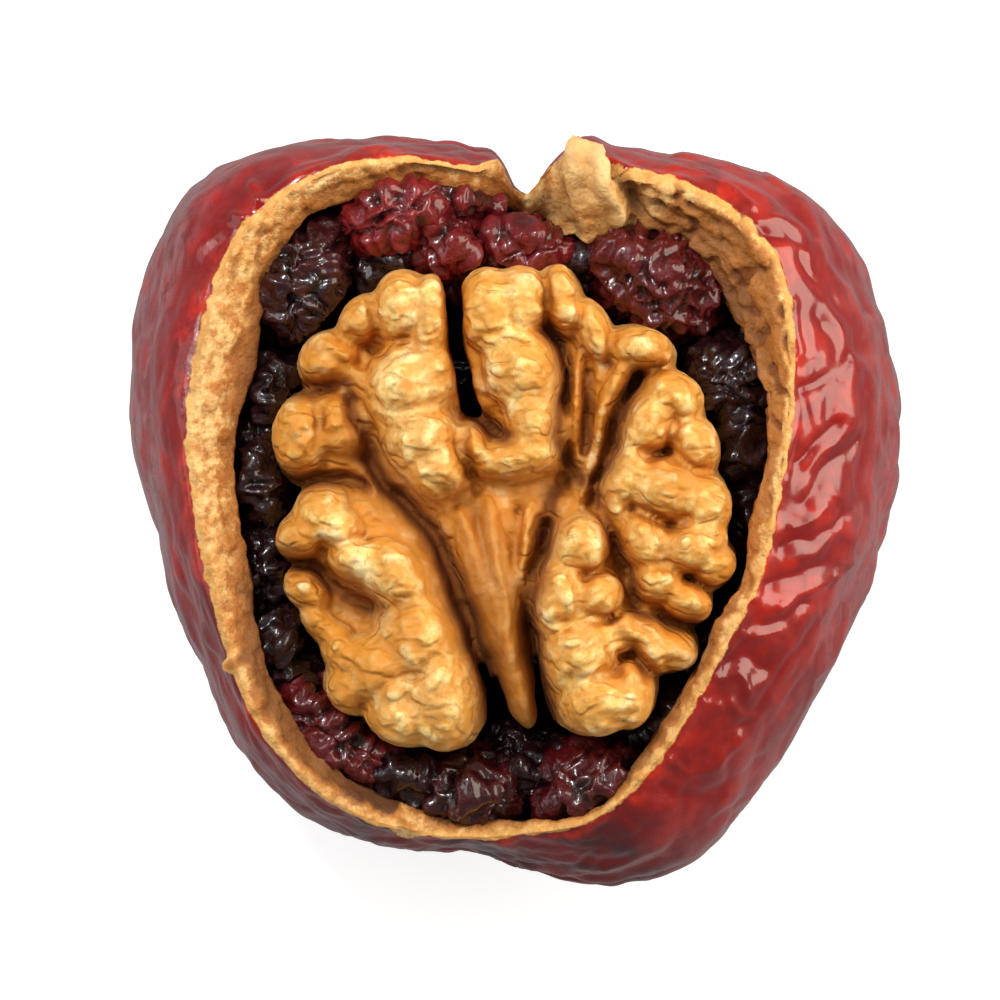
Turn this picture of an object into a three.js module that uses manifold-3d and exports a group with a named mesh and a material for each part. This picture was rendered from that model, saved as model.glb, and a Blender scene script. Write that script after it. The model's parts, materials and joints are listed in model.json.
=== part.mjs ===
// A dried jujube, slit along its length and opened into a cup. Raisins fill the cup, and half a
// walnut kernel is pressed into them with its lobed inner side up.
//
// Millimetres, +Z up. The fruit lies on its back on a small flat spot. Its stem end points to +Y
// and its tip to -Y. The origin is the middle of the footprint, on the resting plane.

import * as THREE from "three";
import { mergeVertices } from "three/addons/utils/BufferGeometryUtils.js";
import Module from "manifold-3d";

const wasm = await Module();
wasm.setup();

// Driving dimensions of the fruit
const BELLY_HEIGHT = 11.5; // its widest line above the resting plane
const FOOT = { x: 3.4, y: 4.6 }; // half sizes of the flat spot
const WALL = 3.2; // flesh and skin together, at least
const UNDERCUT = 0.3; // how far the hollow widens below the mouth, where the flesh is thick
const FLOOR_HEIGHT = 5.2; // bottom of the hollow
const FLESH_SLOPE = 0.55; // fall of the cut flesh towards the hollow, per mm
const FOLD_DEPTH = 1.0; // valleys between the skin folds
const FOLD_SPACING = { along: 7.4, across: 9.5, crumple: 7.2 };
const GIRTH_RADIUS = 20; // of the fruit's mean cross section, for the spacing of its folds
const CRUMPLE_DEPTH = 0.8; // extra crumpling of the skin on the +X flank
const FOOT_FADE = 1.5; // height over which the folds deepen from the flat spot
const CURL = 0.92; // share of a quarter turn that the shoulder makes before the lip

// Driving dimensions of the filling
const CREST_HEIGHT = 24.9; // the kernel's highest lobes
const KERNEL_DOME = 0.9; // fall of the kernel's front from its middle to its edge
const KERNEL_RADIUS = 14;
const GAP = 0.3; // clearance between two pieces that touch
const SKY = 32; // a height above everything

// Fineness
const SIDES = 78; // sections round the fruit
const LOBE_DETAIL = 1; // subdivision of a kernel lobe
const LOBE_GROWTH = 0.12; // makes up for the flat faces that cut its corners
const RAISIN_DETAIL = 2; // of a raisin in view
const HIDDEN_DETAIL = 1; // of a raisin in a gap or under the kernel, and of the room one takes up
const ROOM_GROWTH = 0.3; // makes up for the flat faces of that room

// The opened fruit from above, anticlockwise from +X: [angle, belly, lip, mouth, lip height].
// Belly, lip and mouth are distances from the middle. Skin meets flesh at the lip, and the flesh
// ends over the hollow at the mouth. The flap peaks at 79 degrees, the stem notch is at 88 and the
// dimple of the tip at 262.
const FRUIT_STATIONS = [
  [0, 22.1, 15.2, 13.8, 22.0],
  [15, 23.4, 16.5, 15.2, 22.0],
  [30, 24.5, 18.7, 16.3, 21.6],
  [45, 25.4, 21.2, 17.3, 21.0],
  [60, 23.7, 21.5, 18.2, 20.4],
  [70, 22.4, 20.9, 17.2, 20.4],
  [75, 22.1, 20.7, 15.9, 21.2],
  [79, 22.3, 21.4, 15.9, 21.2],
  [84, 20.3, 20.1, 16.9, 18.4],
  [88, 18.5, 18.3, 17.0, 14.6],
  [92, 19.4, 19.1, 17.6, 16.4],
  [97, 21.4, 20.0, 18.6, 19.2],
  [105, 22.4, 21.0, 19.6, 20.0],
  [115, 23.9, 22.3, 20.8, 20.4],
  [125, 25.7, 22.9, 21.0, 20.4],
  [135, 26.9, 22.7, 19.9, 20.6],
  [150, 25.3, 21.0, 17.3, 21.4],
  [165, 23.4, 19.7, 16.8, 22.0],
  [180, 21.5, 18.6, 16.0, 22.0],
  [195, 20.8, 18.3, 15.8, 22.0],
  [210, 20.7, 18.9, 16.8, 21.8],
  [225, 21.6, 19.7, 17.7, 21.4],
  [240, 21.6, 20.1, 18.3, 20.6],
  [255, 20.8, 19.6, 18.2, 19.0],
  [262, 20.2, 19.3, 18.1, 18.4],
  [270, 20.9, 18.9, 18.1, 18.8],
  [285, 22.7, 18.5, 17.9, 19.8],
  [297, 23.1, 17.1, 15.9, 20.6],
  [315, 21.4, 15.2, 14.1, 21.6],
  [330, 21.0, 14.6, 13.4, 22.0],
  [345, 21.1, 14.8, 13.7, 22.0],
];

// Lobes of the kernel's inner side: [x, y, long, short, turn, drop], with half sizes, the turn of
// the long side in degrees from +X, and the drop of the top below the crest.
const KERNEL_LOBES = {
  upperLeft: [
    [-6.7, 11.7, 2.2, 1.6, 85, 0.2],
    [-5.0, 10.9, 2.8, 1.3, 88, 0.0],
    [-9.0, 10.9, 1.7, 1.2, 65, 1.0],
    [-6.3, 7.0, 3.0, 2.6, 80, -0.1],
    [-5.0, 4.1, 2.8, 1.8, -68, 0.0],
    [-3.8, 2.1, 1.7, 1.6, -40, 0.2],
    [-2.4, 3.7, 1.5, 1.0, 100, 0.9],
  ],
  upperRight: [
    [-1.5, 11.5, 2.6, 1.9, 92, 0.0],
    [0.3, 12.1, 2.1, 1.7, 90, 0.1],
    [0.5, 8.1, 3.3, 2.4, -68, -0.1],
    [1.2, 4.9, 2.4, 1.9, 95, 0.1],
    [0.1, 3.1, 2.7, 1.3, 12, 0.3],
  ],
  fan: [
    [2.7, 12.1, 2.2, 1.1, -82, 0.8],
    [4.5, 10.4, 2.0, 1.1, -72, 1.2],
    [7.2, 9.3, 2.0, 1.4, -8, 1.0],
    [5.9, 7.4, 1.7, 0.8, 65, 1.8],
    [3.5, 6.4, 3.8, 0.8, 86, 2.3],
    [5.2, 5.7, 3.2, 0.8, 78, 2.3],
    [4.2, 1.6, 1.7, 0.9, 66, 2.4],
  ],
  right: [
    [9.1, 6.6, 2.0, 1.5, -28, 0.6],
    [7.5, 5.0, 2.4, 1.8, 62, 0.4],
    [10.3, 3.9, 1.9, 1.5, -62, 0.9],
    [6.3, 2.0, 2.7, 1.4, 74, 0.6],
    [8.6, 1.2, 2.4, 2.1, 0, 0.1],
    [10.8, 0.5, 2.1, 1.7, -62, 0.6],
    [10.2, -2.0, 2.2, 1.6, 22, 0.3],
    [7.4, -1.7, 2.0, 1.6, -60, 0.5],
    [11.5, -3.2, 1.4, 1.2, 30, 1.3],
    [8.1, -4.1, 1.6, 1.3, 0, 0.9],
    [9.9, -5.3, 1.6, 1.2, -22, 1.1],
  ],
  lowerRight: [
    [3.7, -2.1, 2.2, 1.7, 48, 0.2],
    [2.4, -5.0, 2.6, 1.9, 92, 0.0],
    [4.8, -5.0, 1.6, 1.3, 20, 0.0],
    [3.7, -8.1, 2.9, 2.3, 82, -0.1],
    [4.7, -11.0, 2.4, 2.1, 0, 0.2],
    [6.6, -10.6, 2.1, 1.5, 90, 0.7],
    [7.8, -7.5, 2.1, 1.3, -62, 1.2],
    [8.9, -7.9, 1.8, 1.3, -26, 1.6],
  ],
  lowerLeft: [
    [-11.2, -0.1, 1.9, 1.6, 55, 0.6],
    [-12.4, -1.6, 1.5, 1.3, 20, 0.9],
    [-9.3, -2.9, 1.6, 1.3, -20, 0.5],
    [-6.8, -4.1, 3.0, 1.9, -56, 0.0],
    [-5.6, -7.5, 3.5, 2.6, -64, -0.2],
    [-4.4, -10.4, 3.6, 2.4, -84, -0.1],
    [-7.6, -9.4, 2.7, 2.1, -60, 0.0],
    [-6.7, -11.9, 2.2, 1.7, -30, 0.4],
    [-12.0, -4.6, 1.6, 1.2, -40, 1.6],
    [-11.2, -6.5, 1.6, 1.0, -52, 2.0],
    [-9.9, -8.2, 2.1, 1.3, -68, 1.4],
    [-9.5, -10.4, 1.6, 1.4, -50, 1.2],
  ],
  middleLeft: [
    [-12.4, 4.3, 2.4, 1.7, 88, 1.0],
    [-10.0, 4.9, 2.2, 2.0, -40, 1.4],
    [-8.1, 2.1, 2.9, 1.1, -56, 2.6],
    [-10.7, 8.8, 1.9, 1.6, 18, 1.2],
    [-9.2, 7.3, 1.7, 1.2, -40, 1.8],
  ],
  web: [
    [-2.5, -3.5, 6.5, 1.0, -72, 2.6],
    [-1.0, -4.4, 6.5, 1.0, -80, 2.2],
    [0.3, -2.9, 5.2, 0.8, -88, 2.6],
    [0.3, -10.0, 2.4, 0.8, -82, 3.4],
    [1.8, -0.1, 2.4, 0.9, 62, 2.6],
    [-5.0, -3.4, 5.3, 1.1, -60, 3.0],
  ],
};

// Clefts right through the kernel, between the upper lobes and either side of the web's tip:
// [x, y, long, short, turn].
const KERNEL_CLEFTS = [
  [-3.2, 9.9, 5.2, 0.65, 96],
  [-1.9, -10.2, 3.8, 0.55, -64],
  [1.1, -10.6, 3.0, 0.4, -86],
];

// The kernel's body under its lobes: a bumpy dome, inset from the lobes' outline.
const BODY = { top: 21.2, edge: 19.4, bottom: 10.8, inset: 0.5, bump: 0.35, sides: 36 };

// Raisins: [colour, x, y, top, long, short, tall, turn], with half sizes and the turn in degrees.
const RAISINS_IN_VIEW = [
  ["black", -12.2, 13.4, 20.0, 3.7, 2.3, 5.0, 66],
  ["red", -7.6, 17.6, 20.4, 3.2, 2.1, 4.6, 14],
  ["red", -3.9, 15.6, 19.2, 2.9, 1.8, 4.8, -62],
  ["red", -3.2, 18.2, 19.0, 2.2, 1.5, 4.4, -18],
  ["red", 0.5, 15.8, 19.0, 3.0, 1.8, 4.6, -8],
  ["red", 8.1, 13.6, 20.3, 4.3, 2.9, 4.8, -34],
  ["black", 12.6, 7.3, 19.6, 3.1, 2.4, 5.0, -52],
  ["black", 13.2, 3.9, 18.6, 2.4, 1.9, 4.8, -70],
  ["black", -14.0, 6.8, 19.0, 2.3, 1.8, 4.6, 70],
  ["black", -14.6, 2.3, 19.6, 3.7, 2.1, 5.0, 86],
  ["black", -14.4, -2.9, 18.6, 3.0, 1.8, 4.8, 84],
  ["black", -13.7, -8.0, 19.6, 3.0, 1.8, 4.8, -66],
  ["red", -10.4, -12.4, 20.2, 4.0, 2.5, 4.8, -48],
  ["black", -6.6, -15.2, 18.6, 2.8, 1.8, 4.6, -14],
  ["red", -2.6, -15.9, 19.2, 2.5, 1.8, 4.6, 8],
  ["black", 0.6, -14.2, 17.6, 2.6, 2.1, 4.8, 0],
  ["red", 4.4, -15.6, 19.3, 3.1, 2.2, 4.8, 14],
  ["black", 7.8, -11.6, 18.2, 2.3, 1.6, 4.6, 52],
];

// Raisins deep in the gaps between those and the kernel.
const RAISINS_BETWEEN = [
  ["black", 12.9, -0.3, 16.8, 2.8, 1.3, 4.4, 88],
  ["black", -7.2, 14.4, 17.6, 2.6, 1.7, 4.2, 30],
  ["black", 3.8, 14.4, 17.4, 2.3, 1.6, 4.2, -20],
  ["black", 10.6, -7.9, 16.2, 2.8, 1.4, 4.2, 55],
];

// The bed that the kernel rests on: one raisin in the middle, lower by the sag, and a ring of them.
const BED = { count: 5, radius: 8.6, top: 13.6, sag: 1.5, long: 4.9, short: 3.8, tall: 4.0, turn: 75 };

const COLOURS = {
  jujube: { color: 0x8c1414, roughness: 0.35, metalness: 0 },
  walnut: { color: 0xd29a52, roughness: 0.5, metalness: 0 },
  black: { color: 0x17141c, roughness: 0.3, metalness: 0 },
  red: { color: 0x45101a, roughness: 0.3, metalness: 0 },
};

// Helpers

// A closed three.js geometry as a solid that can be joined and cut.
function solidOf(geometry) {
  geometry.deleteAttribute("normal");
  geometry.deleteAttribute("uv");
  const merged = mergeVertices(geometry, 1e-4);
  return new wasm.Manifold(
    new wasm.Mesh({
      numProp: 3,
      vertProperties: new Float32Array(merged.attributes.position.array),
      triVerts: new Uint32Array(merged.index.array),
    }),
  );
}

function joined(solids) {
  return solids.reduce((all, one) => all.add(one));
}

// The largest body of a cut solid, without the crumbs.
function largestBody(solid) {
  const bodies = solid.decompose();
  return bodies.reduce((best, body) => (body.volume() > best.volume() ? body : best));
}

function meshOf(name, solid, colour) {
  const made = solid.getMesh();
  const geometry = new THREE.BufferGeometry();
  geometry.setAttribute("position", new THREE.BufferAttribute(made.vertProperties, 3));
  geometry.setIndex(new THREE.BufferAttribute(made.triVerts, 1));
  geometry.computeVertexNormals();
  const mesh = new THREE.Mesh(geometry, new THREE.MeshStandardMaterial(COLOURS[colour]));
  mesh.name = name;
  return mesh;
}

// A wave between -1 and 0 with round crests and sharp valleys, one of each per unit.
function folds(t) {
  return Math.abs(Math.sin(Math.PI * t)) - 1;
}

// The fruit

// A smooth closed curve through the stations: belly, lip, mouth and lip height at any angle.
function fruitOutline() {
  const first = FRUIT_STATIONS[0];
  const closed = [...FRUIT_STATIONS, [first[0] + 360, ...first.slice(1)]];
  const angles = closed.map((station) => station[0]);
  const values = closed.flatMap((station) => station.slice(1));
  const curve = new THREE.CubicInterpolant(angles, values, 4);
  curve.settings = {
    endingStart: THREE.WrapAroundEnding,
    endingEnd: THREE.WrapAroundEnding,
  };
  return (angle) => {
    const [belly, lip, mouth, lipHeight] = curve.evaluate(angle);
    return { belly, lip, mouth, lipHeight };
  };
}

// How far the skin sinks in at a point, as a number below 0: net-like folds that run along the
// fruit, and oblique creases on the +X flank. It fades to nothing at the flat spot.
function skinRelief(x, y, z) {
  const girth = Math.atan2(z - BELLY_HEIGHT, Math.abs(x)) * GIRTH_RADIUS;
  const drift = 1.9 * Math.sin(y / 4.7 + 0.6) + 1.2 * Math.sin(y / 2.6 + z / 5);
  const long = folds((girth + drift) / FOLD_SPACING.along + (x > 0 ? 0.35 : 0));
  const cross = folds((y + 0.6 * girth + 1.5 * Math.sin(girth / 5)) / FOLD_SPACING.across);
  const flank = Math.exp(-(((y - 2) / 11) ** 2)) * Math.max(0, x / 24);
  const crumple = folds((y - 0.9 * z + 2 * Math.sin(z / 3)) / FOLD_SPACING.crumple);
  const fade = Math.min(1, z / FOOT_FADE);
  return fade * (FOLD_DEPTH * (0.6 * long + 0.4 * cross) + CRUMPLE_DEPTH * flank * crumple);
}

function mouthHeight({ lip, mouth, lipHeight }) {
  return lipHeight - FLESH_SLOPE * (lip - mouth) - 0.2;
}

// Points of one section from the foot's edge, up the skin and over the lip: [distance, height].
function skinSection({ belly, lip, lipHeight }, foot) {
  const points = [];
  const lowSteps = 8;
  for (let i = 0; i <= lowSteps; i++) {
    const t = (i / lowSteps) * (Math.PI / 2);
    points.push([
      foot + (belly - foot) * Math.sin(t) ** 0.95,
      BELLY_HEIGHT * (1 - Math.cos(t)),
    ]);
  }
  const highSteps = 8;
  const turn = (CURL * Math.PI) / 2;
  const inset = (belly - lip) / (1 - Math.cos(turn));
  const rise = (lipHeight - BELLY_HEIGHT) / Math.sin(turn);
  for (let i = 1; i <= highSteps; i++) {
    const s = (i / highSteps) * turn;
    points.push([belly - inset * (1 - Math.cos(s)), BELLY_HEIGHT + rise * Math.sin(s)]);
  }
  return points;
}

// The cut flesh from the lip to the mouth, with a rounded crest.
function fleshSection(outline) {
  const { lip, mouth, lipHeight } = outline;
  const width = lip - mouth;
  return [
    [lip - 0.22 * width, lipHeight + 0.12 * width],
    [lip - 0.6 * width, lipHeight - 0.2 * width],
    [mouth, mouthHeight(outline)],
  ];
}

// The wall of the hollow from under the mouth to the floor, set in by a clearance.
function hollowSection(outline, foot, clearance) {
  const mouth = outline.mouth - clearance;
  const inner = Math.min(outline.belly - WALL - clearance, mouth + UNDERCUT);
  const middle = BELLY_HEIGHT + 0.5;
  const floor = FLOOR_HEIGHT + clearance;
  const points = [[inner, middle]];
  const steps = 4;
  for (let i = 1; i <= steps; i++) {
    const s = (i / steps) * (Math.PI / 2);
    points.push([
      foot + (inner - foot) * Math.cos(s) ** 0.9,
      middle - (middle - floor) * Math.sin(s),
    ]);
  }
  return points;
}

// A closed solid through rings of points, closed at both ends by a fan. The rings run upwards, or
// downwards for a solid that has to share its facets with a wall that was lofted downwards.
function loft(rings, downwards = false) {
  const positions = rings.flat(2);
  const ringSize = rings[0].length;
  const faces = [];
  for (let r = 0; r + 1 < rings.length; r++) {
    for (let a = 0; a < ringSize; a++) {
      const b = (a + 1) % ringSize;
      const low = r * ringSize;
      const high = low + ringSize;
      faces.push(low + a, low + b, high + b, low + a, high + b, high + a);
    }
  }
  const ends = [
    [0, false],
    [rings.length - 1, true],
  ];
  for (const [r, last] of ends) {
    const centre = positions.length / 3;
    const ring = rings[r];
    for (let axis = 0; axis < 3; axis++) {
      positions.push(ring.reduce((sum, point) => sum + point[axis], 0) / ringSize);
    }
    for (let a = 0; a < ringSize; a++) {
      const b = (a + 1) % ringSize;
      const [from, to] = last ? [a, b] : [b, a];
      faces.push(r * ringSize + from, r * ringSize + to, centre);
    }
  }
  const geometry = new THREE.BufferGeometry();
  geometry.setAttribute("position", new THREE.Float32BufferAttribute(positions, 3));
  geometry.setIndex(downwards ? faces.reverse() : faces);
  return solidOf(geometry);
}

// Rings from one section per angle: ring k holds point k of every section.
function ringsRound(sides, sectionAt) {
  const sections = [];
  for (let a = 0; a < sides; a++) {
    const angle = (a / sides) * 2 * Math.PI;
    const [cos, sin] = [Math.cos(angle), Math.sin(angle)];
    sections.push(sectionAt(angle).map(([r, z]) => [r * cos, r * sin, z]));
  }
  return sections[0].map((_, k) => sections.map((section) => section[k]));
}

function footRadius(angle) {
  return 1 / Math.hypot(Math.cos(angle) / FOOT.x, Math.sin(angle) / FOOT.y);
}

function pushedOut(point, amount) {
  const out = new THREE.Vector3(point[0], point[1], (point[2] - BELLY_HEIGHT) * 0.8).normalize();
  return [
    point[0] + out.x * amount,
    point[1] + out.y * amount,
    Math.max(0, point[2] + out.z * amount),
  ];
}

function jujube(outlineAt) {
  const skinCount = skinSection(outlineAt(0), FOOT.x).length;
  const rings = ringsRound(SIDES, (angle) => {
    const outline = outlineAt(THREE.MathUtils.radToDeg(angle));
    const foot = footRadius(angle);
    return [
      ...skinSection(outline, foot),
      ...fleshSection(outline),
      ...hollowSection(outline, foot, 0),
    ];
  });
  const relief = rings.map((ring, k) => {
    if (k === 0 || k >= skinCount - 1) return ring;
    return ring.map((point) => pushedOut(point, skinRelief(...point)));
  });
  return loft(relief);
}

// The space that the filling may take: the hollow with a clearance, and the air above its mouth.
function hollow(outlineAt) {
  const rings = ringsRound(SIDES, (angle) => {
    const outline = outlineAt(THREE.MathUtils.radToDeg(angle));
    const walls = hollowSection(outline, footRadius(angle), GAP);
    const mouth = outline.mouth - GAP;
    return [[mouth, SKY], [mouth, mouthHeight(outline)], ...walls];
  });
  return loft(rings, true);
}

// The filling

// A ball stretched to half sizes, turned and grown, its surface raised by a relief formula.
function blob({ x, y, top, long, short, tall, turn }, detail, grow, relief) {
  const geometry = new THREE.IcosahedronGeometry(1, detail);
  const points = geometry.attributes.position;
  const angle = THREE.MathUtils.degToRad(turn);
  const [cos, sin] = [Math.cos(angle), Math.sin(angle)];
  const point = new THREE.Vector3();
  for (let i = 0; i < points.count; i++) {
    point.fromBufferAttribute(points, i);
    const raised = 1 + relief(point, x, y);
    const along = point.x * (long * raised + grow);
    const across = point.y * (short * raised + grow);
    const up = point.z * (tall * raised + grow);
    points.setXYZ(i, x + along * cos - across * sin, y + along * sin + across * cos, top - tall + up);
  }
  return solidOf(geometry);
}

// Small swellings of a kernel lobe, different on each one.
function kernelRelief(point, x, y) {
  return 0.05 * Math.sin(3.1 * point.x + 2.3 * x) * Math.cos(2.7 * point.y + 1.9 * y);
}

// Puckers of a raisin: deep folds along it, different on each one.
function raisinRelief(point, x, y) {
  const round = Math.atan2(point.z, point.y);
  const end = 1 - point.x * point.x;
  return 0.11 * end * Math.sin(5 * round + 2.5 * point.x + 1.7 * x + 0.9 * y) - 0.03;
}

function kernelLobes() {
  return Object.values(KERNEL_LOBES).flat();
}

function lobeSolid([x, y, long, short, turn, drop]) {
  const fall = KERNEL_DOME * Math.min(1, Math.hypot(x, y) / KERNEL_RADIUS) ** 2;
  const tall = 0.75 * Math.sqrt(long * short) + 1.5;
  const top = CREST_HEIGHT - drop - fall;
  return blob({ x, y, top, long, short, tall, turn }, LOBE_DETAIL, LOBE_GROWTH, kernelRelief);
}

// Distance from the middle to the outermost lobe's far edge, at an angle.
function kernelReach(angle) {
  let reach = 0;
  for (const [x, y, long, short, turn] of kernelLobes()) {
    const lean = THREE.MathUtils.degToRad(turn);
    const [cos, sin] = [Math.cos(lean), Math.sin(lean)];
    // The ray and the lobe's centre, in the lobe's own unit circle
    const ray = new THREE.Vector2(
      (Math.cos(angle) * cos + Math.sin(angle) * sin) / long,
      (Math.sin(angle) * cos - Math.cos(angle) * sin) / short,
    );
    const centre = new THREE.Vector2((x * cos + y * sin) / long, (y * cos - x * sin) / short);
    const along = ray.dot(centre) / ray.lengthSq();
    const miss = centre.lengthSq() - along * ray.dot(centre);
    if (miss < 1) reach = Math.max(reach, along + Math.sqrt((1 - miss) / ray.lengthSq()));
  }
  return reach;
}

// The body, grown outwards by some amount and with its flat top at some height. With a spread, it
// is as wide at each angle as the kernel is anywhere within that spread.
function kernelBody(grow, top, sides, spread = 0) {
  const rings = ringsRound(sides, (angle) => {
    const near = [-1, -0.5, 0, 0.5, 1].map((share) => kernelReach(angle + share * spread));
    const reach = Math.max(...near) - BODY.inset + grow;
    const points = [];
    const steps = 5;
    for (let i = 1; i <= steps; i++) {
      const t = (i / steps) * (Math.PI / 2);
      const bump = BODY.bump * Math.sin(7 * angle + 3 * t) * Math.sin(2 * t);
      points.push([
        reach * Math.sin(t) + bump,
        BODY.bottom - grow + (BODY.edge - BODY.bottom) * (1 - Math.cos(t)) + bump,
      ]);
    }
    return [...points, [reach, top - 0.8], [0.7 * reach, top]];
  });
  return loft(rings);
}

function cleftSolid([x, y, long, short, turn]) {
  const tall = 2 * CREST_HEIGHT;
  return blob({ x, y, top: 1.5 * tall, long, short, tall, turn }, LOBE_DETAIL, 0, () => 0);
}

function walnutKernel() {
  const body = kernelBody(0, BODY.top, BODY.sides);
  const clefts = joined(KERNEL_CLEFTS.map(cleftSolid));
  return largestBody(joined([body, ...kernelLobes().map(lobeSolid)]).subtract(clefts));
}

function bedRaisins() {
  const bed = [["black", 0, 0, BED.top - BED.sag, BED.long, BED.short, BED.tall, BED.turn]];
  for (let i = 0; i < BED.count; i++) {
    const angle = (i / BED.count) * 2 * Math.PI + 0.3;
    const [x, y] = [BED.radius * Math.cos(angle), BED.radius * Math.sin(angle)];
    const turn = THREE.MathUtils.radToDeg(angle) + BED.turn;
    const colour = i % 3 ? "black" : "red";
    bed.push([colour, x, y, BED.top, BED.long, BED.short, BED.tall, turn]);
  }
  return bed;
}

// Every raisin gives way to the kernel, to the hollow's wall and to the raisins before it.
function raisins(space, kernelRoom) {
  const meshes = [];
  let taken = kernelRoom;
  const place = (detail) => ([colour, x, y, top, long, short, tall, turn]) => {
    const size = { x, y, top, long, short, tall, turn };
    const whole = blob(size, detail, 0, raisinRelief);
    const piece = largestBody(whole.intersect(space).subtract(taken));
    taken = taken.add(blob(size, HIDDEN_DETAIL, GAP + ROOM_GROWTH, raisinRelief));
    const name = "raisin_" + String(meshes.length + 1).padStart(2, "0");
    meshes.push(meshOf(name, piece, colour));
  };
  RAISINS_IN_VIEW.forEach(place(RAISIN_DETAIL));
  [...RAISINS_BETWEEN, ...bedRaisins()].forEach(place(HIDDEN_DETAIL));
  return meshes;
}

// The whole part, with the middle of its footprint at the origin

const outlineAt = fruitOutline();
const space = hollow(outlineAt);
const roomSides = BODY.sides / 2;
const kernelRoom = kernelBody(BODY.inset + 2 * GAP, SKY, roomSides, Math.PI / roomSides);

const stuffedJujube = new THREE.Group();
stuffedJujube.add(meshOf("jujube", jujube(outlineAt), "jujube"));
stuffedJujube.add(meshOf("walnut_kernel", walnutKernel(), "walnut"));
stuffedJujube.add(...raisins(space, kernelRoom));

const middle = new THREE.Box3().setFromObject(stuffedJujube).getCenter(new THREE.Vector3());
stuffedJujube.position.set(-middle.x, -middle.y, 0);

export default stuffedJujube;
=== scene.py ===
"""A dried jujube stuffed with raisins and half a walnut kernel: the finished surfaces.

Lengths are in millimetres up to the moment a mesh is made. +Z is up, out of the opened side, +Y
points to the stem end and +X to the crumpled flank. Angles are in degrees, anticlockwise from +X.
"""

import itertools
import json
import math

import bpy
import numpy as np
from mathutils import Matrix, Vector


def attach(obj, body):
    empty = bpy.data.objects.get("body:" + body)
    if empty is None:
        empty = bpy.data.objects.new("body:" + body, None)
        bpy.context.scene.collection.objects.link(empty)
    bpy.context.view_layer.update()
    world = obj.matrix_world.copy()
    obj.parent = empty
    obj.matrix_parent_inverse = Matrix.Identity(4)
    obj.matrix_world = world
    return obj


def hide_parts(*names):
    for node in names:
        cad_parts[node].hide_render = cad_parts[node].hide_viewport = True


MM = 0.001

# The photograph's frame, seen from above: how many pixels it is across, how long a pixel is at the
# scale height, and the pixel over the middle of the drawing
FRAME_PIXELS = 1000
PIXEL = 0.058
SCALE_HEIGHT = 16
FRAME_MIDDLE = (515, 510)
CAMERA_HEIGHT = 1500
SENSOR_WIDTH = 36

# The studio's lights: place, size, power and colour
LIGHTS = {
    "key": ((-190, 190, 400), (300, 300), 0.85, (1, 1, 1)),
    "sparkle": ((-150, 230, 380), (80, 80), 0.9, (1, 1, 1)),
    "right_box": ((368, 130, 240), (430, 400), 2.5, (1.0, 0.91, 0.78)),
    "left_box": ((-420, 0, 170), (420, 240), 0.35, (1, 1, 1)),
}
LIGHT_TARGET = (0, 0, 14)
SKY_STRENGTH = 0.2
FLOOR_HALF = 3000

# Driving dimensions of the fruit, as in the part's source
BELLY_HEIGHT = 11.5
FOOT_X = 3.4
FOOT_Y = 4.6
WALL = 3.2
UNDERCUT = 0.3
FLOOR_HEIGHT = 5.2
FLESH_SLOPE = 0.55
FOLD_DEPTH = 1.0
FOLD_ALONG = 7.4
FOLD_ACROSS = 9.5
FOLD_CRUMPLE = 7.2
GIRTH_RADIUS = 20
CRUMPLE_DEPTH = 0.8
FOOT_FADE = 1.5
CURL = 0.92
BOWL_POWER = 0.95
HOLLOW_POWER = 0.9
HOLLOW_MIDDLE = BELLY_HEIGHT + 0.5
MOUTH_DROP = 0.2

# The rounding of the flesh inside the lip: shares of its width, inwards and up from the lip
LIP_CURVE = [(0, 0), (0.22, 0.12), (0.6, -0.2)]

# Driving dimensions of the filling
CREST_HEIGHT = 24.9
KERNEL_DOME = 0.9
KERNEL_RADIUS = 14
BODY_TOP = 21.2
BODY_EDGE = 19.4
BODY_BOTTOM = 10.8
BODY_INSET = 0.5
BODY_SLOPE = 0.75
BODY_SIDE = 0.9
BODY_LID_FALL = 0.8
LOBE_ROUNDNESS = 0.75
LOBE_ROOT = 1.5
SOFT_IN_GROUP = 0.22
SOFT_BETWEEN_GROUPS = 0.12
SOFT_BODY = 0.2
SOFT_WEB = 0.8
SOFT_GROOVE = 0.45
SKIRT = 0.5
SKIRT_DROP = 1.9

# From the drawing's middle to the middle of the footprint
SHIFT = np.array([-0.019, 0.112, 0.0])

# Fineness of the fruit's surface: sections round it, and rows of points along a section
SECTIONS = 560
ROWS_LOW = 44
ROWS_HIGH = 56
ROWS_FLESH = 34
ROWS_WALL = 20
ROWS_HOLLOW = 6
LIP_ROW = ROWS_LOW + ROWS_HIGH

# The kernel's grid of distances: its step, its limits along each axis, how far round a lobe it is
# worked out, and the distance that stands for anywhere further off
KERNEL_STEP = 0.198
KERNEL_LIMITS = [(-15.6, 14.4), (-15.2, 15.4), (9.8, 26.4)]
LOBE_REACH = 1.6
FAR_OFF = 3.0
WHOLE_GRID = (slice(None),) * 3

# Fineness of the raisins, coarser for those that lie under the kernel
RAISIN_STEP = 0.14
HIDDEN_STEP = 0.32
HIDDEN_RAISINS_FROM = 23

# Noise: the seed of its draws, and the usual height of its creases, which counts as level
NOISE_SEED = 23
USUAL_CREASE = 0.35

# Relief of the skin and flesh: edge of a crumpled plate, terraces inside, and pleats of the flap
PLATE_EDGE = 0.22
TERRACE_WIDTH = 0.95
PLEAT_ANGLE = 5.2

# Relief of the kernel: bottom of a groove, ribs of the upper lobes, the two distances over which a
# point is tested for lying in a groove, and pillows of the skin as weight, size and seed
GROOVE_BOTTOM = 0.16
RIB_WIDTH = 1.3
GROOVE_REACHES = (0.8, 1.5)
KERNEL_PILLOWS = [(0.34, 2.3, 11), (0.36, 1.2, 12), (0.17, (0.8, 0.5, 0.6), 13)]

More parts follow.
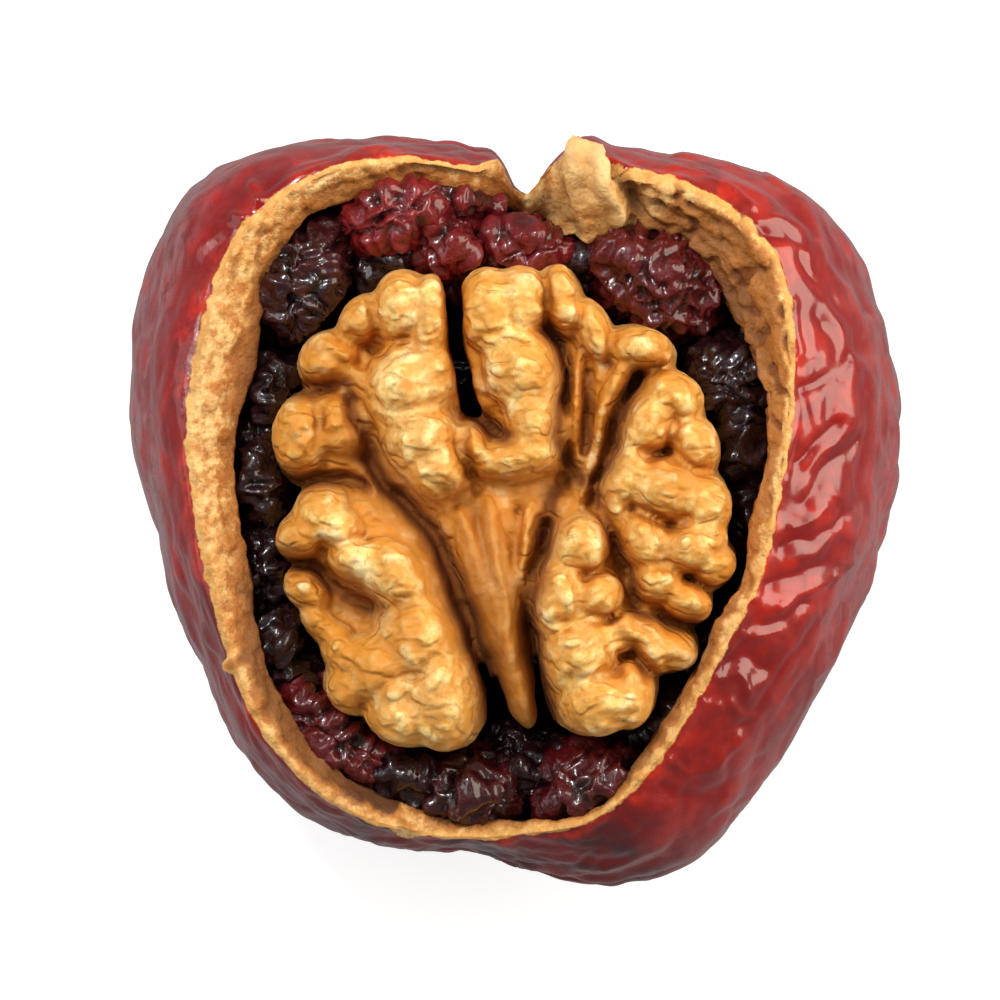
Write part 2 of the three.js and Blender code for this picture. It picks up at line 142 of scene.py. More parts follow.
# Relief of a raisin: how much it is swollen, then its puckers as weight, size and seed
RAISIN_SWELL = 0.4
RAISIN_PUCKERS = [
    (0.85, (1.5, 1.7, 4.0), 24),
    (0.85, (0.8, 0.9, 2.4), 26),
    (0.55, (0.45, 0.5, 1.1), 25),
]

# Screen colours of each kind of raisin: deep, bright, and in patches
RAISIN_COLOURS = {
    "raisin_black": [(13, 8, 12), (64, 19, 22), (32, 13, 16)],
    "raisin_red": [(34, 8, 12), (132, 28, 32), (74, 16, 21)],
}

# Raisins nudged to fill the cup as in the photograph: moves along +X and +Y, then sideways growth
RAISIN_FIT = {
    2: (0.8, -0.2, 1.0),
    3: (0.0, -0.2, 1.10),
    4: (0.0, 0.0, 1.15),
    5: (0.1, -0.5, 1.08),
    13: (-0.1, -0.1, 1.06),
    14: (0.0, -0.3, 1.12),
    15: (0.0, -0.4, 1.18),
    16: (0.2, -0.4, 1.12),
    17: (0.1, -0.4, 1.14),
    18: (0.2, -0.2, 1.12),
    20: (0.0, 0.0, 1.15),
    21: (0.0, 0.0, 1.15),
}

# How light a raisin is, 0 to 1, where it isn't the usual tone
USUAL_TONE = 0.35
RAISIN_TONE = {1: 0.9, 2: 1.0, 3: 0.8, 4: 0.9, 5: 0.8, 6: 0.45, 13: 0.5, 15: 0.1, 17: 0.3}

# The opened fruit from above: angle, distance of belly, lip and mouth from the middle, lip height
FRUIT_STATIONS = [
    (0, 22.1, 15.2, 13.8, 22.0),
    (15, 23.4, 16.5, 15.2, 22.0),
    (30, 24.5, 18.7, 16.3, 21.6),
    (45, 25.4, 21.2, 17.3, 21.0),
    (60, 23.7, 21.5, 18.2, 20.4),
    (70, 22.4, 20.9, 17.2, 20.4),
    (75, 22.1, 20.7, 15.9, 21.2),
    (79, 22.3, 21.4, 15.9, 21.2),
    (84, 20.3, 20.1, 16.9, 18.4),
    (88, 18.5, 18.3, 17.0, 14.6),
    (90.3, 19.0, 18.7, 17.4, 16.0),
    (92.3, 20.5, 19.8, 17.9, 17.8),
    (97, 21.4, 20.0, 18.6, 19.2),
    (105, 22.6, 21.1, 19.4, 20.0),
    (115, 24.0, 22.3, 20.1, 20.4),
    (125, 25.8, 22.9, 20.7, 20.4),
    (135, 26.9, 22.7, 19.9, 20.6),
    (150, 25.3, 21.0, 17.3, 21.4),
    (165, 23.4, 19.7, 16.8, 22.0),
    (180, 21.5, 18.6, 16.0, 22.0),
    (195, 20.8, 18.3, 15.8, 22.0),
    (210, 20.7, 18.9, 16.8, 21.8),
    (225, 21.6, 19.7, 17.7, 21.4),
    (240, 21.6, 20.1, 18.3, 20.6),
    (255, 20.8, 19.6, 18.2, 19.0),
    (262, 20.2, 19.3, 18.1, 18.4),
    (270, 20.9, 18.9, 18.1, 18.8),
    (285, 22.7, 18.5, 17.9, 19.8),
    (297, 23.1, 17.1, 15.9, 20.6),
    (315, 21.4, 15.2, 14.1, 21.6),
    (330, 21.0, 14.6, 13.4, 22.0),
    (345, 21.1, 14.8, 13.7, 22.0),
]

# How far the bare flesh runs out over the lip, at each angle
BARE_FLESH = [
    (0, 0), (66, 0), (72, 0.3), (75, 1.6), (79, 1.6), (82, 0.6), (85, 2.6), (91, 2.2), (94, 0.3),
    (100, 0), (207, 0), (208, 1.0), (209, 0.8), (210, 0), (249, 0), (250.3, 1.4), (252.3, 1.2),
    (253.5, 0), (360, 0),
]

# How far the pale flesh reaches in from the lip, at each angle, before it turns brown: partly browner
# flesh and partly painted shade towards the hollow
PALE_FLESH = [
    (0, 0.8), (25, 0.7), (50, 0.7), (62, 1.1), (67, 6.0), (80, 7.0), (88, 3.0), (94, 1.4),
    (105, 0.9), (120, 1.2), (135, 2.4), (155, 2.8), (180, 2.5), (197, 1.4), (210, 0.8), (228, 0.6),
    (248, 0.7), (250, 3.4), (252.5, 3.4), (254, 0.8), (262, 0.7), (285, 0.5), (300, 0.7),
    (330, 0.8), (360, 0.8),
]

# Sharp creases of the skin seen from above: depth, width, then points
SKIN_CREASES = [
    (0.34, 0.55, [(16.6, 14.6), (18.2, 13.0), (19.6, 11.2), (20.2, 9.4)]),
    (0.30, 0.45, [(18.4, 16.2), (18.9, 14.6), (19.8, 13.4), (20.5, 11.7)]),
    (0.26, 0.40, [(14.6, 16.2), (15.8, 15.9), (17.0, 15.4)]),
    (0.24, 0.40, [(15.6, 18.0), (16.7, 16.8), (17.2, 16.1)]),
    (0.28, 0.42, [(17.6, 11.4), (18.3, 10.3), (18.8, 9.2), (19.0, 7.8)]),
    (0.30, 0.50, [(16.6, 6.9), (17.8, 7.2), (18.8, 8.0), (19.5, 8.9)]),
    (0.18, 0.35, [(18.9, 11.2), (19.5, 10.1), (20.0, 9.5)]),
    (0.26, 0.45, [(20.6, 7.8), (20.6, 5.3), (20.2, 2.8), (20.0, 0.6)]),
    (0.20, 0.40, [(18.1, 5.3), (18.8, 7.6)]),
    (0.28, 0.42, [(16.4, 2.6), (17.9, 4.2), (18.6, 5.0)]),
    (0.30, 0.45, [(16.8, 0.4), (17.6, 1.8), (18.9, 3.3), (19.8, 4.2)]),
    (0.26, 0.42, [(15.3, -2.0), (16.3, -1.6), (17.2, -1.7)]),
    (0.22, 0.40, [(17.2, -1.7), (18.6, -1.2), (19.5, -0.1)]),
    (0.22, 0.40, [(14.8, -4.4), (16.0, -4.0), (17.6, -3.2), (19.2, -2.0)]),
    (0.24, 0.45, [(14.6, -6.6), (15.6, -6.1), (16.8, -5.3)]),
    (0.26, 0.50, [(12.2, -8.6), (13.6, -8.4), (14.4, -9.2)]),
    (0.24, 0.45, [(13.2, -12.6), (14.4, -11.2), (15.4, -9.6)]),
    (0.20, 0.40, [(15.4, -9.6), (16.4, -8.2), (17.6, -6.6)]),
    (0.24, 0.50, [(8.6, -16.2), (10.6, -16.8), (12.4, -15.8)]),
    (0.18, 0.40, [(11.6, -18.2), (14.0, -17.0), (16.2, -14.6)]),
    (0.20, 0.50, [(-15.6, 15.4), (-13.6, 17.4), (-11.4, 18.9), (-8.6, 19.8)]),
    (0.16, 0.50, [(-19.9, 11.4), (-19.0, 13.6), (-17.4, 15.8)]),
    (0.16, 0.45, [(-21.3, 6.0), (-20.9, 9.0), (-20.4, 10.8)]),
    (0.14, 0.45, [(-20.2, -1.6), (-19.7, 2.4), (-20.1, 5.6)]),
    (0.16, 0.40, [(-17.6, -10.2), (-18.6, -6.6), (-19.4, -3.0)]),
    (0.16, 0.40, [(-14.0, -14.6), (-16.4, -11.4), (-17.6, -8.4)]),
    (0.18, 0.40, [(-9.6, -18.0), (-12.0, -16.4), (-13.8, -14.2)]),
    (0.22, 0.40, [(-2.4, -20.2), (-5.0, -19.6), (-8.0, -18.8)]),
    (0.22, 0.45, [(0.6, -19.4), (3.0, -20.2), (6.4, -20.4)]),
    (0.18, 0.40, [(1.6, -21.2), (5.0, -21.6), (8.2, -20.4)]),
]

# Thin ridges of the skin, in the same way
SKIN_RIDGES = [
    (0.22, 0.30, [(15.4, -5.5), (16.8, -4.8), (18.2, -3.9), (19.4, -3.0)]),
    (0.18, 0.28, [(13.5, -7.3), (14.4, -7.1), (15.3, -6.8)]),
    (0.22, 0.28, [(11.7, -9.7), (13.0, -9.3), (13.5, -10.3)]),
    (0.16, 0.26, [(10.9, -11.3), (11.9, -11.3)]),
    (0.18, 0.28, [(12.6, -11.0), (13.1, -12.0), (14.0, -12.0)]),
    (0.24, 0.30, [(8.7, -14.5), (10.3, -15.2), (11.8, -14.9), (13.2, -13.2)]),
    (0.18, 0.30, [(14.2, 16.8), (15.6, 16.9), (16.8, 16.2)]),
    (0.18, 0.30, [(14.3, 12.6), (15.2, 12.0), (16.0, 11.8)]),
    (0.16, 0.30, [(16.0, -0.9), (17.4, -0.6), (18.2, 0.4)]),
    (0.55, 0.40, [(-15.2, 18.7), (-14.7, 17.9)]),
    (0.45, 0.35, [(-16.2, 17.1), (-15.5, 16.7)]),
    (0.20, 0.35, [(-18.4, 14.6), (-17.2, 16.0)]),
    (0.22, 0.30, [(11.4, 18.9), (12.8, 18.5), (14.0, 17.6)]),
    (0.20, 0.30, [(-9.6, 20.4), (-7.4, 20.8)]),
]

# Lobes of the kernel: x, y, long, short, turn in degrees, drop below the crest
KERNEL_LOBES = {
    "upper_left": [
        (-6.7, 11.7, 2.2, 1.6, 85, 0.2),
        (-5.0, 10.9, 2.8, 1.3, 88, 0.0),
        (-9.0, 10.9, 1.7, 1.2, 65, 1.0),
        (-6.3, 7.0, 3.0, 2.6, 80, -0.1),
        (-5.0, 7.8, 2.6, 1.5, 90, 0.1),
        (-5.5, 4.2, 2.8, 2.3, -62, 0.0),
        (-4.6, 2.3, 1.8, 1.7, -30, 0.1),
        (-2.4, 3.7, 1.5, 1.0, 100, 0.9),
    ],
    "upper_right": [
        (-1.5, 11.5, 2.6, 1.9, 92, 0.0),
        (0.3, 12.1, 2.1, 1.7, 90, 0.1),
        (0.5, 8.1, 3.3, 2.4, -68, -0.1),
        (1.2, 4.9, 2.4, 1.9, 95, 0.1),
        (0.1, 3.1, 2.7, 1.3, 12, 0.3),
    ],
    "fan": [
        (2.7, 12.1, 2.2, 1.1, -82, 0.8),
        (4.5, 10.4, 2.0, 1.1, -72, 1.2),
        (7.2, 9.3, 2.0, 1.4, -8, 1.0),
        (5.9, 7.4, 1.7, 0.8, 65, 1.8),
        (3.5, 6.4, 3.8, 0.8, 86, 2.3),
        (5.2, 5.7, 3.2, 0.8, 78, 2.3),
        (4.2, 1.6, 1.7, 0.9, 66, 2.4),
    ],
    "right": [
        (9.1, 6.6, 2.0, 1.5, -28, 0.6),
        (7.5, 5.0, 2.4, 1.8, 62, 0.4),
        (10.3, 3.9, 1.9, 1.5, -62, 0.9),
        (6.3, 2.0, 2.7, 1.4, 74, 0.6),
        (8.6, 1.2, 2.4, 2.1, 0, 0.1),
        (10.8, 0.5, 2.1, 1.7, -62, 0.6),
        (10.2, -2.0, 2.2, 1.6, 22, 0.3),
        (7.4, -1.7, 2.0, 1.6, -60, 0.5),
        (11.5, -3.2, 1.4, 1.2, 30, 1.3),
        (8.1, -4.1, 1.6, 1.3, 0, 0.9),
        (9.9, -5.3, 1.6, 1.2, -22, 1.1),
        (5.6, -0.3, 1.5, 1.0, 80, 1.4),
    ],
    "lower_right": [
        (3.7, -2.1, 2.2, 1.7, 48, 0.2),
        (2.4, -5.0, 2.6, 1.9, 92, 0.0),
        (4.8, -5.0, 1.6, 1.3, 20, 0.0),
        (3.7, -8.1, 2.9, 2.3, 82, -0.1),
        (4.7, -11.0, 2.4, 2.1, 0, 0.2),
        (6.6, -10.6, 2.1, 1.5, 90, 0.7),
        (7.8, -7.5, 2.1, 1.3, -62, 1.2),
        (8.9, -7.9, 1.8, 1.3, -26, 1.6),
        (6.1, -7.1, 1.5, 1.2, 30, 0.8),
    ],
    "lower_left": [
        (-11.2, -0.1, 1.9, 1.6, 55, 0.6),
        (-10.2, -1.0, 1.6, 1.3, 0, 0.8),
        (-12.4, -1.6, 1.5, 1.3, 20, 0.9),
        (-9.3, -2.9, 1.6, 1.3, -20, 0.5),
        (-6.8, -4.1, 3.0, 1.9, -56, 0.0),
        (-5.6, -7.5, 3.5, 2.6, -64, -0.2),
        (-4.4, -10.4, 3.6, 2.4, -84, -0.1),
        (-7.6, -9.4, 2.7, 2.1, -60, 0.0),
        (-6.7, -11.9, 2.2, 1.7, -30, 0.4),
        (-12.0, -4.6, 1.6, 1.2, -40, 1.6),
        (-11.2, -6.5, 1.6, 1.0, -52, 2.0),
        (-9.9, -8.2, 2.1, 1.3, -68, 1.4),
        (-9.5, -10.4, 1.6, 1.4, -50, 1.2),
    ],
    "middle_left": [
        (-12.4, 4.3, 2.4, 1.7, 88, 1.0),
        (-10.0, 4.9, 2.2, 2.0, -40, 1.4),
        (-8.1, 2.1, 2.9, 1.1, -56, 2.6),
        (-10.7, 8.8, 1.9, 1.6, 18, 1.2),
        (-9.2, 7.3, 1.7, 1.2, -40, 1.8),
    ],
    "web": [
        (-0.8, -4.6, 7.2, 1.1, -82, 2.0),
        (-2.3, -3.5, 5.8, 1.0, -74, 2.5),
        (0.6, -2.9, 4.8, 0.8, -95, 2.4),
        (0.4, -10.2, 2.5, 0.9, -80, 2.9),
        (1.8, -0.1, 2.4, 1.0, 62, 2.5),
        (-3.9, -3.6, 5.6, 1.1, -68, 3.4),
    ],
}

# Slots right through the kernel: half width, then points
KERNEL_CLEFTS = [
    (0.42, [(-3.75, 15.2), (-3.65, 13.5), (-3.42, 10.0), (-3.05, 7.5), (-2.75, 5.9)]),
    (0.40, [(-2.9, 7.4), (-2.25, 5.7)]),
    (0.25, [(-2.0, -9.0), (-1.3, -10.8), (-0.7, -12.6)]),
    (0.45, [(-1.2, -11.2), (-0.8, -13.0)]),
    (0.16, [(1.25, -8.6), (1.35, -10.6), (1.9, -13.0)]),
]

# Grooves between the lobes and on them: depth, width, then points
KERNEL_GROOVES = [
    (1.6, 0.45, [(-9.7, 7.3), (-9.2, 5.3), (-8.2, 3.1)]),
    (2.6, 0.55, [(-8.4, 3.1), (-7.3, 1.3), (-6.1, 0.1), (-4.9, -1.4), (-3.9, -3.4), (-3.0, -5.4)]),
    (2.8, 0.60, [(-3.0, -5.4), (-2.3, -7.6), (-1.5, -10.2), (-0.9, -12.5)]),
    (2.4, 0.42, [(1.7, -0.6), (1.5, -2.7), (0.9, -4.9), (0.9, -6.7), (1.3, -9.1), (1.9, -12.0)]),
    (1.8, 0.40, [(1.7, 10.4), (2.6, 9.2), (3.0, 7.8), (2.7, 6.1), (2.6, 4.2), (3.0, 2.7), (3.8, 1.7)]),
    (2.2, 0.42, [(7.3, 7.9), (6.4, 6.4), (5.8, 4.8), (5.4, 2.6), (4.5, 1.6)]),
    (1.2, 0.30, [(4.1, 8.0), (4.1, 5.8), (3.9, 3.3)]),
    (
        1.4,
        0.45,
        [(4.2, 1.8), (5.0, -0.4), (6.0, -2.2), (6.7, -4.3), (7.2, -5.9), (8.7, -6.4), (10.3, -6.6)],
    ),
    (1.6, 0.45, [(-13.6, -3.0), (-11.9, -3.2), (-10.4, -4.4), (-9.4, -5.1), (-7.8, -5.8)]),
    (1.8, 0.80, [(-9.6, -5.0), (-8.4, -5.6)]),
    (1.8, 0.50, [(3.0, 2.0), (2.2, 0.9), (1.7, -0.8)]),
    (2.2, 0.40, [(-2.6, 5.6), (-1.7, 5.1), (-1.1, 4.6), (-0.5, 4.3)]),
    (0.9, 0.30, [(-2.7, 5.6), (-2.8, 4.0), (-2.6, 2.2), (-2.2, 1.0)]),
    (0.8, 0.30, [(-9.5, 10.0), (-8.5, 9.5), (-7.8, 9.0), (-7.4, 9.0)]),
    (0.9, 0.35, [(6.0, -7.0), (6.9, -8.1), (7.5, -9.9)]),
    (0.6, 0.26, [(-11.7, 7.0), (-11.3, 5.4), (-11.5, 3.8), (-10.8, 2.3)]),
    (0.5, 0.25, [(-14.2, 4.4), (-13.0, 4.1), (-11.8, 4.6)]),
    (0.5, 0.25, [(-10.8, 4.2), (-9.8, 4.6), (-8.6, 4.2)]),
    (0.6, 0.25, [(-12.2, 9.6), (-10.9, 9.0), (-10.0, 8.2)]),
    (1.5, 0.45, [(-12.9, 6.9), (-11.0, 7.2), (-9.6, 7.0)]),
    (1.8, 0.50, [(-14.2, 1.7), (-11.6, 1.6), (-9.9, 1.9), (-8.6, 1.4)]),
    (0.8, 0.35, [(-5.0, 1.9), (-3.6, 0.6), (-1.9, 1.5), (0.4, 1.5), (2.4, 1.9)]),
    (0.6, 0.34, [(-3.3, -0.8), (-2.5, -3.2), (-1.5, -6.4), (-0.4, -9.8)]),
    (0.55, 0.30, [(-2.1, -0.4), (-1.5, -3.0), (-0.8, -6.4)]),
    (0.6, 0.30, [(0.3, 0.0), (0.2, -2.0), (0.3, -5.0)]),
    (0.4, 0.26, [(-0.8, -0.6), (-0.6, -3.4), (0.0, -7.6)]),
    (0.4, 0.20, [(-8.1, 6.1), (-6.6, 5.7), (-4.8, 6.2)]),
    (0.4, 0.20, [(-7.6, 4.6), (-6.0, 4.4), (-5.2, 5.2)]),
    (0.4, 0.20, [(-6.6, 8.9), (-5.6, 9.5), (-4.2, 9.3)]),
    (0.4, 0.20, [(-1.5, 9.2), (0.2, 9.6), (1.6, 9.0)]),
    (0.4, 0.20, [(-0.6, 6.3), (1.0, 6.9), (2.4, 6.3)]),
    (0.5, 0.22, [(-6.0, 3.4), (-5.0, 2.2), (-4.3, 3.2)]),
    (0.7, 0.30, [(-9.6, -7.2), (-7.6, -6.6), (-6.4, -5.2)]),
    (0.5, 0.25, [(-8.6, -11.2), (-7.2, -9.8), (-5.4, -9.6), (-4.6, -8.6)]),
    (0.5, 0.25, [(2.0, -6.4), (3.6, -6.7), (5.4, -6.2)]),
    (0.5, 0.25, [(2.4, -10.0), (4.2, -9.6), (6.0, -9.4)]),
    (0.6, 0.28, [(7.0, 0.2), (8.6, -0.4), (9.4, -1.0), (11.6, -1.4)]),
    (0.6, 0.28, [(7.2, 3.2), (8.8, 3.0), (10.2, 2.2), (12.4, 2.0)]),
]

# The web, along which the skin is browner
WEB_LINE = [(-2.2, -0.6), (-1.2, -5.0), (0.5, -12.0)]

# The low bank beside the main groove, where painted shade makes it browner
SHADED_BANK_LINE = [(-9.0, 3.4), (-7.4, 0.8), (-6.0, -1.2), (-4.4, -4.4), (-3.4, -7.0)]

# Places where painted shade makes the kernel's skin a darker gold: x, y, radius
SHADED_SPOTS = [
    (-11.4, 4.4, 3.2),
    (-9.6, 4.8, 2.0),
    (-10.4, 8.2, 2.2),
    (-9.6, -5.2, 2.4),
    (-11.6, -6.6, 2.2),
    (-9.0, -9.2, 3.8),
    (-7.0, -7.0, 2.8),
    (9.8, 2.2, 2.2),
    (-12.4, -1.6, 1.8),
    (3.8, 5.2, 2.6),
    (7.4, -5.6, 1.8),
]

# Places where a painted pool of light makes it paler, in the same way
LIT_SPOTS = [
    (-6.2, 11.4, 2.2),
    (-6.0, 7.4, 3.6),
    (-5.2, 3.6, 3.2),
    (-5.4, -10.4, 2.4),
]

# Folds of the flap and the flesh beside it: height, width, then points
FLESH_FOLDS = [
    (-1.1, 0.50, [(5.6, 20.6), (6.4, 19.1), (7.1, 17.3)]),
    (0.7, 0.50, [(4.8, 20.5), (5.3, 18.8), (5.9, 17.2)]),
    (-0.5, 0.60, [(2.7, 19.0), (2.9, 17.2), (3.6, 15.6)]),
    (0.4, 0.50, [(3.6, 21.0), (3.4, 19.2), (3.6, 17.0)]),
    (-0.5, 0.45, [(-6.6, 19.4), (-4.4, 19.6), (-2.0, 19.3)]),
    (-0.4, 0.40, [(8.0, 17.6), (10.2, 16.4), (12.2, 14.8)]),
    (-0.4, 0.40, [(11.0, 17.0), (12.8, 15.4), (14.2, 13.4)]),
    (-0.35, 0.40, [(13.0, 12.6), (14.2, 10.6), (14.6, 8.4)]),
]


# Noise


_draw = np.random.default_rng(NOISE_SEED)
SHUFFLE = _draw.permutation(256)
SLOPES = _draw.normal(size=(256, 3))
SLOPES /= np.linalg.norm(SLOPES, axis=1, keepdims=True)
SCATTER = _draw.random((256, 3))


def hashed(cell):
    """A repeatable number from 0 to 255 for each whole-numbered cell."""
    cell = cell & 255
    return SHUFFLE[(SHUFFLE[(SHUFFLE[cell[:, 0]] + cell[:, 1]) & 255] + cell[:, 2]) & 255]


def swell(points, size, seed=0):
    """Smooth noise, about -1 to 1, whose waves are of that size. A size may differ by axis."""
    p = points / np.asarray(size, float) + 17.31 * seed
    cell = np.floor(p).astype(int)
    inside = p - cell
    ease = inside ** 3 * (inside * (inside * 6 - 15) + 10)
    total = np.zeros(len(p))
    for corner in itertools.product((0, 1), repeat=3):
        lean = ((inside - corner) * SLOPES[hashed(cell + corner)]).sum(1)
        share = np.where(corner, ease, 1 - ease).prod(1)
        total += share * lean
    return 1.6 * total


def drift(points, size, seeds):
    """A smooth shift, one column for each seed."""
    return np.stack([swell(points, size, seed) for seed in seeds], axis=1)


def creases(points, size, seed=0):
    """0 along thin lines, rising to about 1 on round crests between them."""
    return np.abs(swell(points, size, seed))


def pillows(points, size, seed=0):
    """As creases, with rounded valleys."""
    return np.sqrt(swell(points, size, seed) ** 2 + 0.03) - 0.1


def facets(points, size, seed=0):
    """Crumpled plates: the tilt of each plate gives its height, which is 0 along its edges."""
    p = points / np.asarray(size, float) + 9.7 * seed
    base = np.floor(p).astype(int)
    near = np.full(len(p), 9.0)
    second = np.full(len(p), 9.0)
    tilt = np.zeros(len(p))
    for step in itertools.product((-1, 0, 1), repeat=3):
        cell = base + step
        key = hashed(cell)
        away = p - (cell + SCATTER[key])
        distance = np.sqrt((away ** 2).sum(1))
        closer = distance < near
        second = np.where(closer, near, np.minimum(second, distance))
        near = np.where(closer, distance, near)
        tilt = np.where(closer, (away * SLOPES[key]).sum(1), tilt)
    return tilt * np.clip((second - near) / PLATE_EDGE, 0, 1)


def smooth_step(low, high, value):
    """0 up to low and 1 from high on, with a smooth rise between. Low may be the larger one."""
    t = np.clip((value - low) / (high - low), 0, 1)
    return t * t * (3 - 2 * t)


# Meshes


def mesh_object(name, points, faces):
    """A smooth-shaded mesh from points in millimetres."""
    mesh = bpy.data.meshes.new(name)
    mesh.from_pydata((np.asarray(points) * MM).tolist(), [], faces)
    mesh.update()
    mesh.shade_smooth()
    piece = bpy.data.objects.new(name, mesh)
    bpy.context.scene.collection.objects.link(piece)
    return piece


def paint(piece, looks):
    """Writes one number per point under each name, for the material to read."""
    for name, values in looks.items():
        layer = piece.data.attributes.new(name, "FLOAT", "POINT")
        layer.data.foreach_set("value", np.asarray(values, np.float32).ravel())


def corner_normals(points, quads):
    """Outward normals at the points of a quad mesh."""
    a, b, c, d = (points[quads[:, k]] for k in range(4))
    across = np.cross(c - a, d - b)
    normals = np.zeros_like(points)
    for k in range(4):
        np.add.at(normals, quads[:, k], across)
    return normals / np.maximum(np.linalg.norm(normals, axis=1, keepdims=True), 1e-12)


def relaxed(points, quads, rounds):
    """Points moved halfway to the middle of their neighbours, in each round."""
    starts, ends = np.concatenate([quads[:, [k, (k + 1) % 4]] for k in range(4)]).T
    count = np.bincount(starts, minlength=len(points)) + np.bincount(ends, minlength=len(points))
    for _ in range(rounds):
        total = np.zeros_like(points)
        for axis in range(3):
            line = points[:, axis]
            total[:, axis] = np.bincount(starts, line[ends], len(points))
            total[:, axis] += np.bincount(ends, line[starts], len(points))
        points = points + 0.5 * (total / np.maximum(count, 1)[:, None] - points)
    return points


def off_line(xy, line):
    """Distance of each point from a drawn line."""
    nearest = np.full(len(xy), 99.0)
    for start, end in itertools.pairwise(np.array(line, float)):
        along = end - start
        share = np.clip((xy - start) @ along / (along @ along), 0, 1)
        nearest = np.minimum(nearest, np.linalg.norm(xy - start - share[:, None] * along, axis=1))
    return nearest


def beside_line(xy, line, width):
    """1 on a drawn line, fading to either side of it."""
    return np.exp(-((off_line(xy, line) / width) ** 2))


def beside_angle(turn, middle, full, none):
    """1 within an angle of the middle one, fading to 0."""
    return smooth_step(none, full, np.abs((turn - middle + 180) % 360 - 180))


# The fruit


def around(stations, degrees):
    """A smooth closed curve through the stations, at each angle: one column per value."""
    table = np.array(stations, float)
    whole_turn = np.zeros(table.shape[1])
    whole_turn[0] = 360
    table = np.vstack([table[-2:] - whole_turn, table, table[:2] + whole_turn])
    x, values = table[:, 0], table[:, 1:]
    width = np.diff(x)[:, None]
    slope = np.diff(values, axis=0) / width
    tangent = np.zeros_like(values)
    weighted = slope[:-1] * width[1:] + slope[1:] * width[:-1]
    tangent[1:-1] = weighted / (width[1:] + width[:-1])
    k = np.clip(np.searchsorted(x, degrees, side="right") - 1, 1, len(x) - 3)
    h = width[k]
    t = ((degrees - x[k])[:, None]) / h
    t2, t3 = t * t, t * t * t
    return (
        (2 * t3 - 3 * t2 + 1) * values[k]
        + (t3 - 2 * t2 + t) * h * tangent[k]
        + (3 * t2 - 2 * t3) * values[k + 1]
        + (t3 - t2) * h * tangent[k + 1]
    ).T


def folds(t):
    """A wave between -1 and 0 with round crests and sharp valleys, one of each per unit."""
    return np.abs(np.sin(np.pi * t)) - 1


def skin_relief(p):
    """The large folds of the skin, as in the part's source."""
    x, y, z = p.T
    girth = np.arctan2(z - BELLY_HEIGHT, np.hypot(x, 2.5)) * GIRTH_RADIUS
    waver = 1.9 * np.sin(y / 4.7 + 0.6) + 1.2 * np.sin(y / 2.6 + z / 5)
    along = folds((girth + waver) / FOLD_ALONG + np.where(x > 0, 0.35, 0))
    across = folds((y + 0.6 * girth + 1.5 * np.sin(girth / 5)) / FOLD_ACROSS)
    flank = np.exp(-(((y - 2) / 11) ** 2)) * np.maximum(0, x / 24)
    crumple = folds((y - 0.9 * z + 2 * np.sin(z / 3)) / FOLD_CRUMPLE)
    fade = np.minimum(1, z / FOOT_FADE)
    return fade * (FOLD_DEPTH * (0.6 * along + 0.4 * across) + CRUMPLE_DEPTH * flank * crumple)


def outwards(p):
    """The way out of the fruit at each point, a little flatter than from its middle."""
    out = (p - [0, 0, BELLY_HEIGHT]) * [1, 1, 0.8]
    return out / np.linalg.norm(out, axis=1, keepdims=True)


def spline(knots, steps):
    """A smooth curve through knots, each a (distance, height) pair of arrays, in equal steps."""
    knots = np.array(knots)
    ends = np.concatenate([[2 * knots[0] - knots[1]], knots, [2 * knots[-1] - knots[-2]]])
    rows = []
    spans = len(knots) - 1
    for i in range(1, steps + 1):
        at = i / steps * spans
        k = min(int(at), spans - 1)
        t = at - k
        a, b, c, d = ends[k : k + 4]
        bend = 2 * b + (c - a) * t + (2 * a - 5 * b + 4 * c - d) * t * t
        rows.append(0.5 * (bend + (3 * b - a - 3 * c + d) * t ** 3))
    return rows


def fruit_rows(degrees):
    """Rows of points round the fruit, from the foot up the skin, over the lip and down inside."""
    belly, lip, mouth, lip_height = around(FRUIT_STATIONS, degrees)
    angle = np.radians(degrees)
    foot = 1 / np.hypot(np.cos(angle) / FOOT_X, np.sin(angle) / FOOT_Y)
    rows = []
    for t in np.linspace(0, np.pi / 2, ROWS_LOW + 1):
        height = np.full_like(foot, BELLY_HEIGHT * (1 - math.cos(t)))
        rows.append((foot + (belly - foot) * math.sin(t) ** BOWL_POWER, height))
    turn = CURL * np.pi / 2
    inset = (belly - lip) / (1 - math.cos(turn))
    rise = (lip_height - BELLY_HEIGHT) / math.sin(turn)
    for s in np.linspace(0, turn, ROWS_HIGH + 1)[1:]:
        rows.append((belly - inset * (1 - math.cos(s)), BELLY_HEIGHT + rise * math.sin(s)))
    width = lip - mouth
    mouth_height = lip_height - FLESH_SLOPE * width - MOUTH_DROP
    curve = [(lip - inwards * width, lip_height + up * width) for inwards, up in LIP_CURVE]
    rows += spline(curve + [(mouth, mouth_height)], ROWS_FLESH)
    inner = np.minimum(belly - WALL, mouth + UNDERCUT)
    for share in np.linspace(0, 1, ROWS_WALL + 1)[1:]:
        fall = HOLLOW_MIDDLE + (mouth_height - HOLLOW_MIDDLE) * (1 - share)
        rows.append((mouth + (inner - mouth) * share, fall))
    for s in np.linspace(0, np.pi / 2, ROWS_HOLLOW + 1)[1:]:
        reach = foot + (inner - foot) * max(math.cos(s), 0) ** HOLLOW_POWER
        fall = HOLLOW_MIDDLE - (HOLLOW_MIDDLE - FLOOR_HEIGHT) * math.sin(s)
        rows.append((reach, np.full_like(foot, fall)))
    return np.array([[r * np.cos(angle), r * np.sin(angle), z] for r, z in rows]).transpose(0, 2, 1)


def from_lip(grid):
    """Distance from the lip along each section, negative on the skin and positive on the flesh."""
    steps = np.linalg.norm(np.diff(grid, axis=0), axis=2)
    travel = np.concatenate([np.zeros((1, SECTIONS)), np.cumsum(steps, axis=0)])
    return (travel - travel[LIP_ROW]).ravel()


